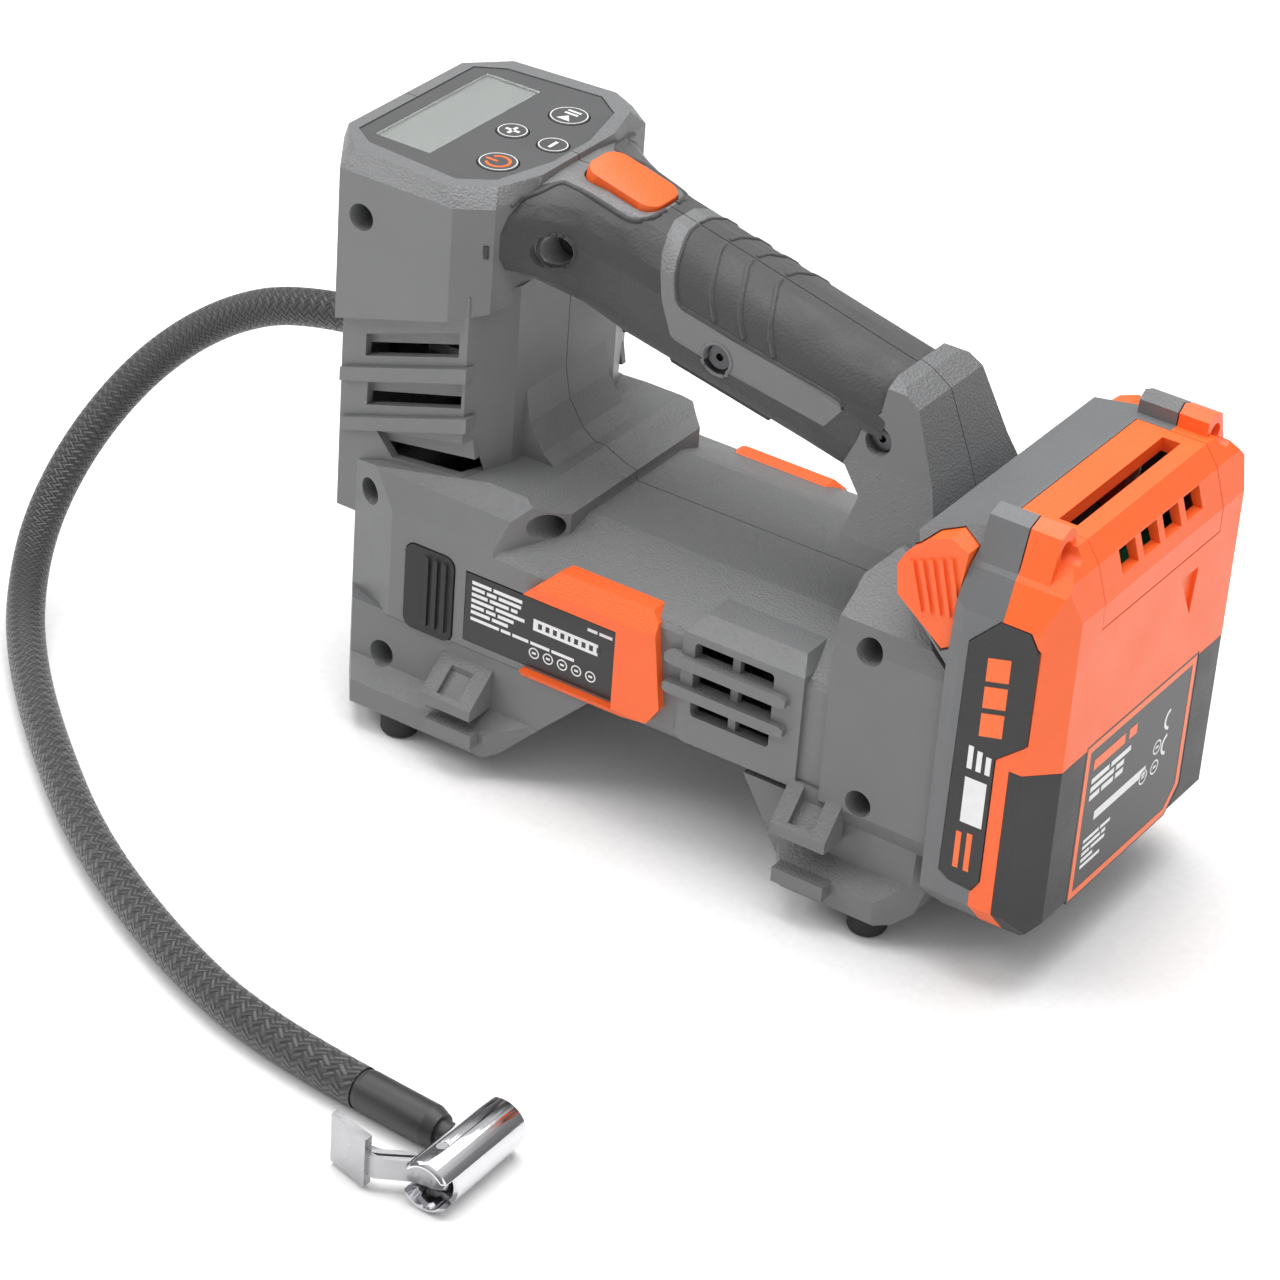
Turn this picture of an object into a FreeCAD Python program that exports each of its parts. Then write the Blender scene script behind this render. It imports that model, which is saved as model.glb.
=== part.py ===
import FreeCAD, Part
import math
import os
from FreeCAD import Placement, Rotation, Vector

# Cordless tyre inflator with a pressure display, a slide-on battery pack and an air hose.
# +X runs from the control head to the battery, the rating label is on the -Y side, +Z is up.
# The origin is on the ground, under the middle of the tool and battery.  Millimetres.

doc = FreeCAD.newDocument("tyre_inflator")
sheet = doc.addObject("Spreadsheet::Sheet", "Dims")

DRIVING = [
    ("BodyEnd", 115.5, "half of the overall length"),
    ("BodyTop", 158.5, "rim of the control head above the ground"),
    ("HeadHalf", 40.0, "control head, half width"),
    ("ColumnHalf", 37.0, "column below the head, half width"),
    ("WaistHalf", 44.0, "motor housing, half width"),
    ("WaistTop", 72.5, "top of the motor housing"),
    ("WaistFloor", 31.0, "underside of the motor housing"),
    ("TailHalf", 46.0, "battery foot, half width"),
    ("FootHalf", 50.0, "foot rails, half width"),
    ("ClipHalf", 53.5, "hose clips, half width"),
    ("Wall", 2.5, "wall of the plastic shells"),
    ("Seam", 0.15, "half of the gap between the two shells"),
    ("SkinThick", 2.2, "rubber skin of the handle"),
    ("PackHalf", 48.75, "battery, half width"),
    ("PackTop", 123.5, "top of the battery"),
    ("PackFloor", 16.0, "bottom of the battery"),
    ("ScrewRadius", 1.5, "housing screw shank"),
    ("ScrewHead", 3.2, "housing screw head radius"),
    ("ScrewSink", 3.7, "screw recess radius"),
    ("BossRadius", 5.2, "screw boss radius"),
    ("SlopeAngle", 13.9, "fall of the handle towards the battery, degrees"),
    ("GearModule", 0.8, "module of the crank gear pair"),
    ("PinionTeeth", 12, "teeth of the motor pinion"),
    ("CrankTeeth", 48, "teeth of the crank gear"),
    ("CrankThrow", 7.0, "crank pin radius, half of the stroke"),
    ("BoreRadius", 9.5, "cylinder bore"),
    ("PistonGap", 0.08, "piston clearance"),
    ("MotorRadius", 17.5, "motor can"),
    ("MotorHeight", 51.75, "motor axis above the ground"),
    ("BoreHeight", 99.6, "shelf that carries the cylinder, above the ground"),
    ("MotorLength", 57.0, "motor can"),
    ("CellRadius", 9.0, "battery cell"),
    ("CellPitch", 18.5, "spacing of the battery cells"),
    ("CellLength", 65.0, "battery cell"),
    ("HoseRadius", 5.25, "braided hose"),
    ("FerruleRadius", 5.5, "crimped ferrule of the hose"),
    ("ChuckRadius", 6.8, "valve chuck tube"),
    ("ValveRadius", 3.9, "hole of the chuck's rubber washer"),
    ("SmallKey", 4.2, "plus and minus buttons, radius"),
    ("LargeKey", 5.3, "power and start buttons, radius"),
    ("KeyGap", 0.25, "gap round a button"),
]
for row, (alias, value, meaning) in enumerate(DRIVING, start=1):
    sheet.set("A%d" % row, meaning)
    sheet.set("B%d" % row, str(value))
    sheet.setAlias("B%d" % row, alias)
doc.recompute()


def size(alias):
    """The value of one driving dimension."""
    return float(sheet.get(alias))


def bound(text):
    """An expression of driving dimensions, such as "WaistHalf - Wall", for setExpression."""
    words = str(text)
    for alias, _, _ in DRIVING:
        words = words.replace(alias, "Dims." + alias)
    return words


# ---------------------------------------------------------------- outlines


def arc(middle, end):
    """Marks a round stretch of an outline, through middle to end."""
    return ("arc", middle, end)


def rounded(low_u, high_u, low_v, high_v, radius):
    """A rectangle with round corners."""
    bend = radius * (1 - math.sqrt(0.5))
    return [
        (low_u + radius, low_v),
        (high_u - radius, low_v),
        arc((high_u - bend, low_v + bend), (high_u, low_v + radius)),
        (high_u, high_v - radius),
        arc((high_u - bend, high_v - bend), (high_u - radius, high_v)),
        (low_u + radius, high_v),
        arc((low_u + bend, high_v - bend), (low_u, high_v - radius)),
        (low_u, low_v + radius),
        arc((low_u + bend, low_v + bend), (low_u + radius, low_v)),
    ]


def mirrored(half):
    """A whole plan outline from its +Y half, which is given as (x, y) points."""
    return list(half) + [(x, -y) for x, y in reversed(half)]


def spanned(half):
    """A whole cross-section outline from its +Y half, which is given as (y, z) points."""
    return list(half) + [(-y, z) for y, z in reversed(half)]


def shrunk(outline, inset):
    """The corners of a straight-sided outline, moved inwards by inset."""
    points = [Vector(p[0], p[1], 0) for p in outline]
    area = sum(a.x * b.y - b.x * a.y for a, b in zip(points, points[1:] + points[:1]))
    turn = 1 if area > 0 else -1
    moved = []
    for before, here, after in zip(points[-1:] + points[:-1], points, points[1:] + points[:1]):
        first = (here - before).normalize()
        second = (after - here).normalize()
        first_in = Vector(-first.y, first.x, 0) * turn
        second_in = Vector(-second.y, second.x, 0) * turn
        reach = inset / (1 + first_in.dot(second_in))
        corner = here + (first_in + second_in) * reach
        moved.append((corner.x, corner.y))
    return moved


def draw(sketch, outline):
    """Puts the outline's lines and arcs into a sketch."""
    here = None
    for item in outline:
        if item[0] == "arc":
            middle = Vector(item[1][0], item[1][1], 0)
            end = Vector(item[2][0], item[2][1], 0)
            sketch.addGeometry(Part.Arc(here, middle, end))
            here = end
            continue
        end = Vector(item[0], item[1], 0)
        if here is not None and here.distanceToPoint(end) > 1e-6:
            sketch.addGeometry(Part.LineSegment(here, end))
        here = end
    first = Vector(outline[0][0], outline[0][1], 0)
    if here.distanceToPoint(first) > 1e-6:
        sketch.addGeometry(Part.LineSegment(here, first))


# ---------------------------------------------------------------- solids


def new_sketch(body, name, plane):
    """A sketch on one of the body's own origin planes."""
    sketch = body.newObject("Sketcher::SketchObject", name + "_sketch")
    base = [item for item in body.Origin.OriginFeatures if item.Role == plane + "_Plane"][0]
    sketch.AttachmentSupport = [(base, "")]
    sketch.MapMode = "FlatFace"
    return sketch


def pad(name, plane, outline, start, stop):
    """A PartDesign body: an outline in XY, XZ or YZ, padded from start to stop on the third axis."""
    body = doc.addObject("PartDesign::Body", name)
    sketch = new_sketch(body, name, plane)
    draw(sketch, outline)
    feature = body.newObject("PartDesign::Pad", name + "_pad")
    feature.Profile = sketch
    offset = "-(%s)" % stop if plane == "XZ" else "%s" % start
    sketch.setExpression("AttachmentOffset.Base.z", bound(offset))
    feature.setExpression("Length", bound("(%s) - (%s)" % (stop, start)))
    return body


def turned(name, profile, origin, direction):
    """A PartDesign body turned from a (radius, height) profile, about an axis at origin."""
    body = doc.addObject("PartDesign::Body", name)
    sketch = new_sketch(body, name, "XZ")
    draw(sketch, profile)
    feature = body.newObject("PartDesign::Revolution", name + "_turn")
    feature.Profile = sketch
    feature.ReferenceAxis = (sketch, ["V_Axis"])
    feature.Angle = 360
    body.Placement = Placement(Vector(*origin), Rotation(Vector(0, 0, 1), Vector(*direction)))
    return body


def rod(name, start, direction, radius, length):
    """A Part cylinder from start along direction."""
    item = doc.addObject("Part::Cylinder", name)
    item.setExpression("Radius", bound(radius))
    item.setExpression("Height", bound(length))
    item.Placement = Placement(Vector(*start), Rotation(Vector(0, 0, 1), Vector(*direction)))
    return item


def block(name, low, high):
    """A Part box between two corners."""
    item = doc.addObject("Part::Box", name)
    for prop, near, far in zip(("Length", "Width", "Height"), low, high):
        item.setExpression(prop, bound("(%s) - (%s)" % (far, near)))
    for prop, near in zip("xyz", low):
        item.setExpression("Placement.Base." + prop, bound(near))
    return item


def fuse(name, *items):
    """The union of several solids, or a group of separate ones."""
    item = doc.addObject("Part::MultiFuse", name)
    item.Shapes = list(items)
    return item


def common(name, *items):
    """What several solids share."""
    item = doc.addObject("Part::MultiCommon", name)
    item.Shapes = list(items)
    return item


def cut(name, base, *tools):
    """One solid less several others."""
    item = doc.addObject("Part::Cut", name)
    item.Base = base
    item.Tool = tools[0] if len(tools) == 1 else fuse(name + "_tools", *tools)
    return item


def made(name, shape):
    """A Part::Feature for a form that the other features don't fit."""
    item = doc.addObject("Part::Feature", name)
    item.Shape = shape
    return item


parts = {}


def keep(node, item):
    """Names a finished sub-part."""
    item.Label = node
    parts[node] = item
    return item


def mass(name, side, plan=None, section=None, inset=0.0):
    """A block of the housing: what its side, plan and cross-section outlines share."""
    reach = 70
    outlines = [("XZ", side, -reach, reach), ("XY", plan, 0, 170), ("YZ", section, -130, 130)]
    pieces = []
    for plane, outline, start, stop in outlines:
        if outline is None:
            continue
        shape = shrunk(outline, inset) if inset else outline
        pieces.append(pad("%s_%s" % (name, plane), plane, shape, start, stop))
    return common(name, *pieces) if len(pieces) > 1 else pieces[0]


# ---------------------------------------------------------------- housing masses

END = size("BodyEnd")
TOP = size("BodyTop")
HEAD = size("HeadHalf")
COLUMN = size("ColumnHalf")
WAIST = size("WaistHalf")
WAIST_TOP = size("WaistTop")
FLOOR = size("WaistFloor")
TAIL = size("TailHalf")
FOOT = size("FootHalf")
WALL = size("Wall")
TAIL_SEAM = 52.3          # x of the joint between the motor housing and the battery foot
TAIL_FACE = 83.5          # x of the face that the battery slides along
BEVEL_LOW = TOP - 4.0     # where the head's sides start to lean in to the rim
HANDLE_START = -61.7      # x of the front edge of the rubber skin

head_side = [(-END, BEVEL_LOW), (-END, 109), (-60, 126), (-60, BEVEL_LOW)]
head_plan = mirrored([(-END, 25), (-105.5, HEAD), (-70.5, HEAD), (-62, 33.5), (-60, 18)])
rim_plan = mirrored([(-END + 1, 24.6), (-105, 34.8), (-73.8, 36.8), (-64.4, 29.5), (-60.2, 16)])
column_side = [(-END, 130), (-END, 100), (-112.5, 75), (-107, 56), (-60, 56), (-60, 130)]
column_plan = mirrored([(-113.5, 22), (-105, COLUMN), (-66, COLUMN), (-60, 23)])
bend_side = [(-66, 125), (-60, 98), (-58.2, 89), (-53.5, 82), (-46.5, 77), (-36, 73.5), (-32, 60),
             (-66, 60)]
bend_section = spanned([(17, 125), (19, 60)])
gear_side = [(-107, 50), (-104.5, 66), (-98, 72), (-91, 74.2), (-58, 79.2), (-46, 79.2), (-40.2, 76.4),
             (-34, 75), (-32, 50)]
gear_plan = mirrored([(-107, 22), (-99, 37), (-82, WAIST), (-50, WAIST), (-36, 30)])
gear_section = spanned([(33, 82), (36, 79), (41, 74), (43.8, 66), (WAIST, 65), (WAIST, 45)])
motor_side = [(-107, 56), (-105, FLOOR), (TAIL_SEAM, FLOOR), (TAIL_SEAM, WAIST_TOP), (-60, WAIST_TOP),
              (-60, 56)]
motor_plan = mirrored([(-107, 22), (-99, 37), (-82, WAIST), (TAIL_SEAM, WAIST)])
motor_section = spanned([(21, WAIST_TOP), (25, 71.3), (42.6, 65.2), (WAIST, 63.4), (WAIST, 34),
                         (41, FLOOR)])
vent_side = [(9, 36), (11.5, 33), (42.5, 33), (45, 36), (45, 66), (42, 69.5), (12.5, 69.5), (9.5, 65)]
vent_section = spanned([(38, 70.5), (WAIST + 1.2, 66), (WAIST + 1.2, 34), (WAIST - 1, 32)])
tail_side = [(TAIL_SEAM, 28), (TAIL_SEAM, 94), (57, 99.5), (62.5, 98), (TAIL_FACE, 83.5),
             (TAIL_FACE, 28)]
tail_section = spanned([(20, 102), (27, 98.5), (44, 87), (TAIL, 81), (TAIL, 34), (43, 28)])
pillar_side = [(39, 94), (41.5, 106), (35, 112.5), (37.5, 119), (38.4, 124), (42.6, 127.6), (43.4, 136.3),
               (47, 135), (52.5, 131.5), (60, 114), (66, 98), (66, 92), (40, 90)]
pillar_section = spanned([(8, 138), (15, 134), (18.4, 114), (25, 96), (25, 90)])
front_foot_side = [(-106, 36), (-103.5, 14), (-99.5, 6), (-48, 6), (-42, 9), (-17, 33.5)]
front_foot_plan = mirrored([(-106, 22), (-99, 37), (-89, FOOT), (-46, FOOT), (-36, WAIST),
                            (-17, WAIST)])
rear_foot_side = [(27, 33.5), (43, 9), (47, 7), (77, 7), (81, 10), (82.5, 16), (82.5, 33.5)]
rear_foot_plan = mirrored([(27, WAIST), (41, WAIST), (46, FOOT), (73, FOOT), (82.5, 41)])
foot_section = spanned([(43, 34), (43.5, 18), (FOOT, 14), (FOOT, 7.5), (48.5, 6)])


def rim_loft(name, low_plan, low_z, high_plan, high_z):
    """The bevelled top of the head, between two plan outlines."""
    rings = []
    for outline, height in ((low_plan, low_z), (high_plan, high_z)):
        corners = [Vector(x, y, height) for x, y in outline]
        rings.append(Part.makePolygon(corners + corners[:1]))
    return made(name, Part.makeLoft(rings, True, True))


def tube_section(x, half, low, high, inset):
    """One rounded cross-section of the handle, a superellipse of straight chords."""
    chords = 20
    power = 2 / 2.7
    middle = (low + high) / 2
    wide = half - inset
    tall = (high - low) / 2 - inset
    ring = []
    for step in range(chords):
        angle = 2 * math.pi * (step + 0.5) / chords
        across = math.copysign(abs(math.cos(angle)) ** power, math.cos(angle))
        upward = math.copysign(abs(math.sin(angle)) ** power, math.sin(angle))
        ring.append(Vector(x, wide * across, middle + tall * upward))
    return Part.makePolygon(ring + ring[:1])


# x, half width, underside and top of the handle
HANDLE_STATIONS = [(-66, 36, 132.0, 157.0), (-57, 27, 129.0, 157.0), (-46, 20, 123.8, 156.4),
                   (-34, 17.5, 118.3, 153.8), (-8, 17, 112.8, 147.8), (20, 17, 107.1, 141.0),
                   (45, 17.5, 101.8, 134.8)]


def handle_loft(name, inset):
    """The handle as a loft through its stations."""
    rings = [tube_section(x, half, low, high, inset) for x, half, low, high in HANDLE_STATIONS]
    return made(name, Part.makeLoft(rings, True, True))


def housing_masses(stem, inset):
    """Every block of the motor housing, for its outside or, with an inset, for its hollow."""
    return [
        mass(stem + "_head", head_side, head_plan, None, inset),
        mass(stem + "_column", column_side, column_plan, None, inset),
        mass(stem + "_bend", bend_side, None, bend_section, inset),
        mass(stem + "_gear", gear_side, gear_plan, gear_section, inset),
        mass(stem + "_motor", motor_side, motor_plan, motor_section, inset),
    ]


head_rim = rim_loft("head_rim", head_plan, BEVEL_LOW, rim_plan, TOP)
handle_outer = handle_loft("handle_outer", 0.0)
handle_core = handle_loft("handle_core", size("SkinThick"))
handle_hollow = handle_loft("handle_hollow", size("SkinThick") + WALL)

# ---------------------------------------------------------------- shells and handle skin

SKIN = size("SkinThick")
SEAM = size("Seam")
FAR = 80.0                 # beyond every surface

near_half = block("near_half", (-130, "-%s" % FAR, -5), (130, "-Seam", 170))
far_half = block("far_half", (-130, "Seam", -5), (130, FAR, 170))

# Grey plastic that shows through the rubber skin: a collar round the switch, and a band that
# crosses the handle and runs back along its flank.
collar_plan = mirrored([(-70, 24), (-62, 20), (-57.5, 11.8), (-36.5, 11.4), (-32.6, 8.5), (-31.6, 4)])
collar_region = pad("collar_region", "XY", collar_plan, "BodyTop - 10", "BodyTop + 4")
band_side = [(-28.3, 165), (-27.9, 152.3), (-26.1, 150.3), (-23.7, 143.8), (-21.6, 135.9), (-18.7, 128),
             (-17.5, 126.9), (-0.9, 123.1), (27.4, 118.8), (32.5, 125.3), (31, 126.9), (-1.3, 132.7),
             (-16, 136), (-18.3, 138.1), (-19.8, 143.8), (-21.7, 149.8), (-23.4, 151.2), (-23.4, 165)]
band_region = pad("band_region", "XZ", band_side, -30, 30)
skin_length = block("skin_length", (HANDLE_START, -FAR, 90), (44, FAR, 170))
pillar = mass("pillar", pillar_side, None, pillar_section)
pillar_cut = mass("pillar_cut", pillar_side, None, pillar_section, -0.15)
outer_head = fuse("outer_head", *(housing_masses("outer", 0.0) + [head_rim]))
front_foot = mass("front_foot", front_foot_side, front_foot_plan, foot_section)
window_frame = common("window_frame", pad("window_frame_side", "XZ", vent_side, -FAR, FAR),
                      pad("window_frame_section", "YZ", vent_section, 0, 60))
skin_rough = cut("skin_rough", common("skin_rough_length", handle_outer, skin_length), handle_core,
                 collar_region, band_region, pillar_cut, outer_head)
grey_shows = common("grey_shows", handle_outer, fuse("shown_regions", collar_region, band_region))
handle_front = common("handle_front", handle_core, block("handle_span", (-66, -FAR, 90), (43, FAR, 170)))

# The outside of the clamshell, and its hollow.
clam_outer = fuse("clam_outer", outer_head, front_foot, window_frame, handle_front,
                  common("grey_shows_span", grey_shows, block("grey_span", (-66, -FAR, 90), (38, FAR, 170))))
clam_hollow = fuse("clam_hollow", *(housing_masses("hollow", WALL) + [handle_hollow]))

# Bosses for the screws, (x, z) and how far in the recess starts on the label side.
SCREWS = [(-98.3, 143.0, 40), (-51.2, 142.3, 26), (-4.8, 126.0, 18), (-92.4, 65.5, 42), (-40.5, 72.0, 36),
          (-84.0, 21.0, 44)]
TAIL_SCREWS = [(43.3, 120.4, 18), (62.5, 81.0, 46), (63.8, 37.5, 46)]
HEAD_DEPTH = 13.0          # y of the screw heads, from the seam
TIP_DEPTH = 12.0           # y of the screw tips, beyond the seam


def screw_set(stem, places):
    """Bosses, recesses, shank holes and screws along y for a list of places."""
    bosses = []
    sinks = []
    shanks = []
    screws = []
    for index, (x, z, outside) in enumerate(places):
        tag = "%s_%d" % (stem, index)
        bosses.append(rod(tag + "_boss", (x, -outside, z), (0, 1, 0), "BossRadius", 2 * outside))
        sinks.append(rod(tag + "_sink", (x, -FAR, z), (0, 1, 0), "ScrewSink", FAR - HEAD_DEPTH))
        shanks.append(rod(tag + "_hole", (x, -HEAD_DEPTH - 1, z), (0, 1, 0), "ScrewRadius + 0.05",
                          HEAD_DEPTH + 1.1 + TIP_DEPTH))
        shank = rod(tag + "_shank", (x, -HEAD_DEPTH - 1, z), (0, 1, 0), "ScrewRadius",
                    HEAD_DEPTH + 1 + TIP_DEPTH)
        head = rod(tag + "_head", (x, -HEAD_DEPTH - 2.4, z), (0, 1, 0), "ScrewHead", 2.4)
        socket = rod(tag + "_socket", (x, -HEAD_DEPTH - 2.5, z), (0, 1, 0), "ScrewRadius * 0.7", 1.6)
        screws.append(cut(tag + "_screw", fuse(tag + "_body", shank, head), socket))
    return bosses, sinks, shanks, screws


clam_bosses, clam_sinks, clam_shanks, clam_screws = screw_set("clam", SCREWS)
tail_bosses, tail_sinks, tail_shanks, tail_screws = screw_set("tail", TAIL_SCREWS)
boss_column = common("boss_column", fuse("boss_set", *clam_bosses), clam_outer)

# ---------------------------------------------------------------- openings of the clamshell

panel_plan = mirrored([(-111, 25), (-103.7, 29.9), (-75.2, 32.3), (-67.2, 26.2), (-62.6, 8)])
panel_seat = pad("panel_seat", "XY", panel_plan, "BodyTop - 2.2", "BodyTop + 5")
panel_well = pad("panel_well", "XY", shrunk(panel_plan, 2.0), "BodyTop - 9", "BodyTop + 5")

# Switch button on the handle's top, tilted with the handle.
SWITCH_AT = (-45.0, 0.0, 150.6)
switch_tilt = Placement(Vector(*SWITCH_AT), Rotation(Vector(0, 1, 0), size("SlopeAngle")))
switch_hole = pad("switch_hole", "XY", rounded(-11.7, 11.7, -7.8, 7.8, 5.0), -8, 14)
switch_hole.Placement = switch_tilt

# Three cooling slots in each side of the column; the lowest one leans with the collar below it.
SLOTS = [[(-97.5, 109.0), (-97.5, 102.6), (-68.5, 112.2), (-68.5, 119.2)],
         [(-96.5, 95.2), (-96.5, 88.6), (-67.0, 98.0), (-67.0, 104.8)],
         [(-93.1, 82.1), (-87.7, 76.0), (-63.3, 78.6), (-64.6, 88.4)]]
slot_cuts = []
for index, outline in enumerate(SLOTS):
    slot_cuts.append(pad("slot_%d" % index, "XZ", outline, -60, 60))

# A louvre behind the upper part of each slot.
LOUVRES = [[(-99.5, 110.2), (-99.5, 105.0), (-66.5, 115.6), (-66.5, 121.0)],
           [(-98.5, 96.4), (-98.5, 91.2), (-65.0, 101.0), (-65.0, 106.4)],
           [(-95.0, 82.6), (-92.5, 78.9), (-63.5, 83.4), (-64.6, 89.4)]]

# Six cooling windows by the fan, with bars across them.
window_side = rounded(13.0, 36.4, 42.2, 63.8, 1.2)
window_cut = pad("window_cut", "XZ", window_side, -60, 60)
WINDOW_BARS = (49.0, 57.6)
bars = [block("window_post_near", (23.6, "-WaistHalf", 41), (25.8, "-WaistHalf + 2", 65)),
        block("window_post_far", (23.6, "WaistHalf - 2", 41), (25.8, "WaistHalf", 65))]
for index, height in enumerate(WINDOW_BARS):
    bar_outline = [(5.2, height - 1.0), (6.6, height - 1.6), (39.6, height - 1.6), (41.0, height - 1.0),
                   (41.0, height + 1.0), (39.6, height + 1.6), (6.6, height + 1.6), (5.2, height + 1.0)]
    bars.append(pad("window_bar_near_%d" % index, "XZ", bar_outline, "-WaistHalf - 3", "-WaistHalf + 2"))
    bars.append(pad("window_bar_far_%d" % index, "XZ", bar_outline, "WaistHalf - 2", "WaistHalf + 3"))

# Raised bars between the slots of the column.
SLOT_BARS = [[(-104.5, 97.4), (-104.5, 93.6), (-65.0, 106.4), (-65.0, 110.6)],
             [(-103.8, 83.0), (-103.8, 79.2), (-64.2, 92.2), (-64.2, 96.4)]]
for index, outline in enumerate(LOUVRES):
    bars.append(pad("louvre_near_%d" % index, "XZ", outline, "-ColumnHalf + 2.4", "-ColumnHalf + 4.2"))
    bars.append(pad("louvre_far_%d" % index, "XZ", outline, "ColumnHalf - 4.2", "ColumnHalf - 2.4"))
for index, outline in enumerate(SLOT_BARS):
    bars.append(pad("slot_bar_near_%d" % index, "XZ", outline, "-ColumnHalf - 1.5", "-ColumnHalf + 2.5"))
    bars.append(pad("slot_bar_far_%d" % index, "XZ", outline, "ColumnHalf - 2.5", "ColumnHalf + 1.5"))

# Shallow seats in the flanks.
insert_side = rounded(-77.3, -61.3, 32.9, 58.7, 3.2)
label_side = [(-58.0, 36.0), (-10.4, 36.0), (-10.4, 56.8), (-58.0, 56.8)]
cover_side = [(-38.5, 58.4), (-30.6, 66.0), (-29.0, 66.8), (-1.2, 66.8), (1.6, 64.4), (4.6, 41.0),
              (1.0, 35.4), (-7.5, 33.2), (-38.5, 33.2), (-38.5, 35.4), (-9.8, 35.4), (-9.8, 58.4)]
cover_section = spanned([(41, 70.0), (WAIST + 2.6, 61.8), (WAIST + 2.6, 35.5), (WAIST + 0.4, 32.5)])


def both_flanks(stem, outline, depth, rise):
    """The same pocket in both flanks, from depth inside the flank to rise beyond it."""
    return [pad(stem + "_near", "XZ", outline, "-WaistHalf - %s" % rise, "-WaistHalf + %s" % depth),
            pad(stem + "_far", "XZ", outline, "WaistHalf - %s" % depth, "WaistHalf + %s" % rise)]


seats = both_flanks("insert_seat", insert_side, 1.5, 5) + both_flanks("label_seat", label_side, 0.8, 5)
gland_hole = rod("gland_hole", (-END - 8, 0, 90), (1, 0, 0), 6.2, 20)
shank_clear = [rod("clear_%d" % index, (x, -14, z), (0, 1, 0), "ScrewRadius + 0.2", 14)
               for index, (x, z, _) in enumerate(SCREWS)]
foot_profile = [(0, 0), (4.6, 0), (5.2, 1), (5.2, 9.5), (0, 9.5)]
foot_pads = []
for x, y in ((-77, -43.5), (-77, 43.5), (68, -42), (68, 42)):
    foot_pads.append(turned("foot_pad_%d" % len(foot_pads), foot_profile, (x, y, 0), (0, 0, 1)))
keep("rubber_feet", fuse("foot_set", *foot_pads))

# Hose clips: an upper wedge tab and a lower flat tab over each foot rail, on both sides.
clips = {"front": [], "rear": []}
CLIP_PLACES = [("front", -64.5, -48.5, 30.5, 41.0), ("rear", 43.5, 59.5, 36.0, 44.1)]
for stem, left, right, top, root in CLIP_PLACES:
    for side in (-1, 1):
        tag = "%s_%s" % (stem, "near" if side < 0 else "far")
        edge = sorted((side * 42.0, side * size("ClipHalf")))
        wedge = [(side * root, top), (side * (root + 1), top), (side * (FOOT + 3), top - 9),
                 (side * (FOOT + 3), top - 12), (side * root, top - 12)]
        trough = [(side * 45.2, top + 2), (side * 45.2, top - 4.4), (side * (FOOT + 1.2), top - 9.4),
                  (side * (FOOT + 6), top + 2)]
        upper = pad(tag + "_upper", "YZ", wedge, left, right)
        groove = pad(tag + "_groove", "YZ", trough, left + 4.5, right - 4.5)
        lower = block(tag + "_lower", (left + 2, edge[0], 10.5), (right + 1, edge[1], 14.6))
        clips[stem] += [cut(tag + "_tab", upper, groove), lower]

motor_room = rod("motor_room", (-60, 0, size("MotorHeight")), (1, 0, 0), "MotorRadius + 0.4", 62)
clam_shell = cut("clam_shell", fuse("clam_body", cut("clam_wall", clam_outer, clam_hollow), boss_column),
                 panel_seat, panel_well, switch_hole, window_cut, gland_hole, motor_room,
                 *(slot_cuts + seats))
clam_full = cut("clam_full", fuse("clam_with_bars", clam_shell, *(bars + clips["front"])),
                tail_sinks[0], tail_shanks[0], *(clam_sinks + clam_shanks + foot_pads[:2]))
clam_near = common("shell_near_half", clam_full, near_half)
keep("housing_left", cut("shell_near", clam_near, *shank_clear))
keep("housing_right", common("shell_far", clam_full, far_half))
doc.recompute()

# ---------------------------------------------------------------- battery foot of the tool

tail_outer = fuse("tail_outer", mass("tail_block", tail_side, None, tail_section), pillar,
                  mass("rear_foot", rear_foot_side, rear_foot_plan, foot_section))
tail_hollow = fuse("tail_hollow", mass("tail_hollow_side", tail_side, None, tail_section, WALL),
                   common("pillar_hollow", block("pillar_room", (30, -7, 96), (50, 7, 126)), pillar))
rail_stem = block("rail_stem", (TAIL_FACE - 0.5, -20, 32), (88.2, 20, 81))
rail_head = block("rail_head", (87.8, -24, 32), (90.6, 24, 81))
terminal_hole = block("terminal_hole", (64, -13, 80), (82.2, 13, 104))
tail_boss_set = common("tail_boss_set", fuse("tail_bosses", *tail_bosses), tail_outer)
tail_wall = cut("tail_wall", tail_outer, tail_hollow, handle_front,
                block("tail_front_gap", (20, -FAR, -5), (TAIL_SEAM + 0.2, FAR, 92)))
foot_span = block("rear_foot_span", (20, -FAR, 0), (TAIL_SEAM + 1, FAR, 30.8))
rear_foot_root = common("rear_foot_root", tail_outer, foot_span)
pillar_span = block("pillar_span", (20, -FAR, 73), (TAIL_SEAM + 1, FAR, 96))
pillar_root = common("pillar_root", pillar, pillar_span)
tail_full = cut("tail_full", fuse("tail_body", tail_wall, tail_boss_set, rail_stem, rail_head, rear_foot_root,
                                  pillar_root, *clips["rear"]),
                terminal_hole, clam_full, *(tail_sinks + tail_shanks + foot_pads[2:]))
tail_clear = [rod("tail_clear_%d" % index, (x, -14, z), (0, 1, 0), "ScrewRadius + 0.2", 14)
              for index, (x, z, _) in enumerate(TAIL_SCREWS)]
keep("battery_foot_left", cut("foot_near", common("foot_near_half", tail_full, near_half), *tail_clear))
keep("battery_foot_right", common("foot_far", tail_full, far_half))
keep("housing_screws", fuse("screw_group", *(clam_screws + tail_screws)))

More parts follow.
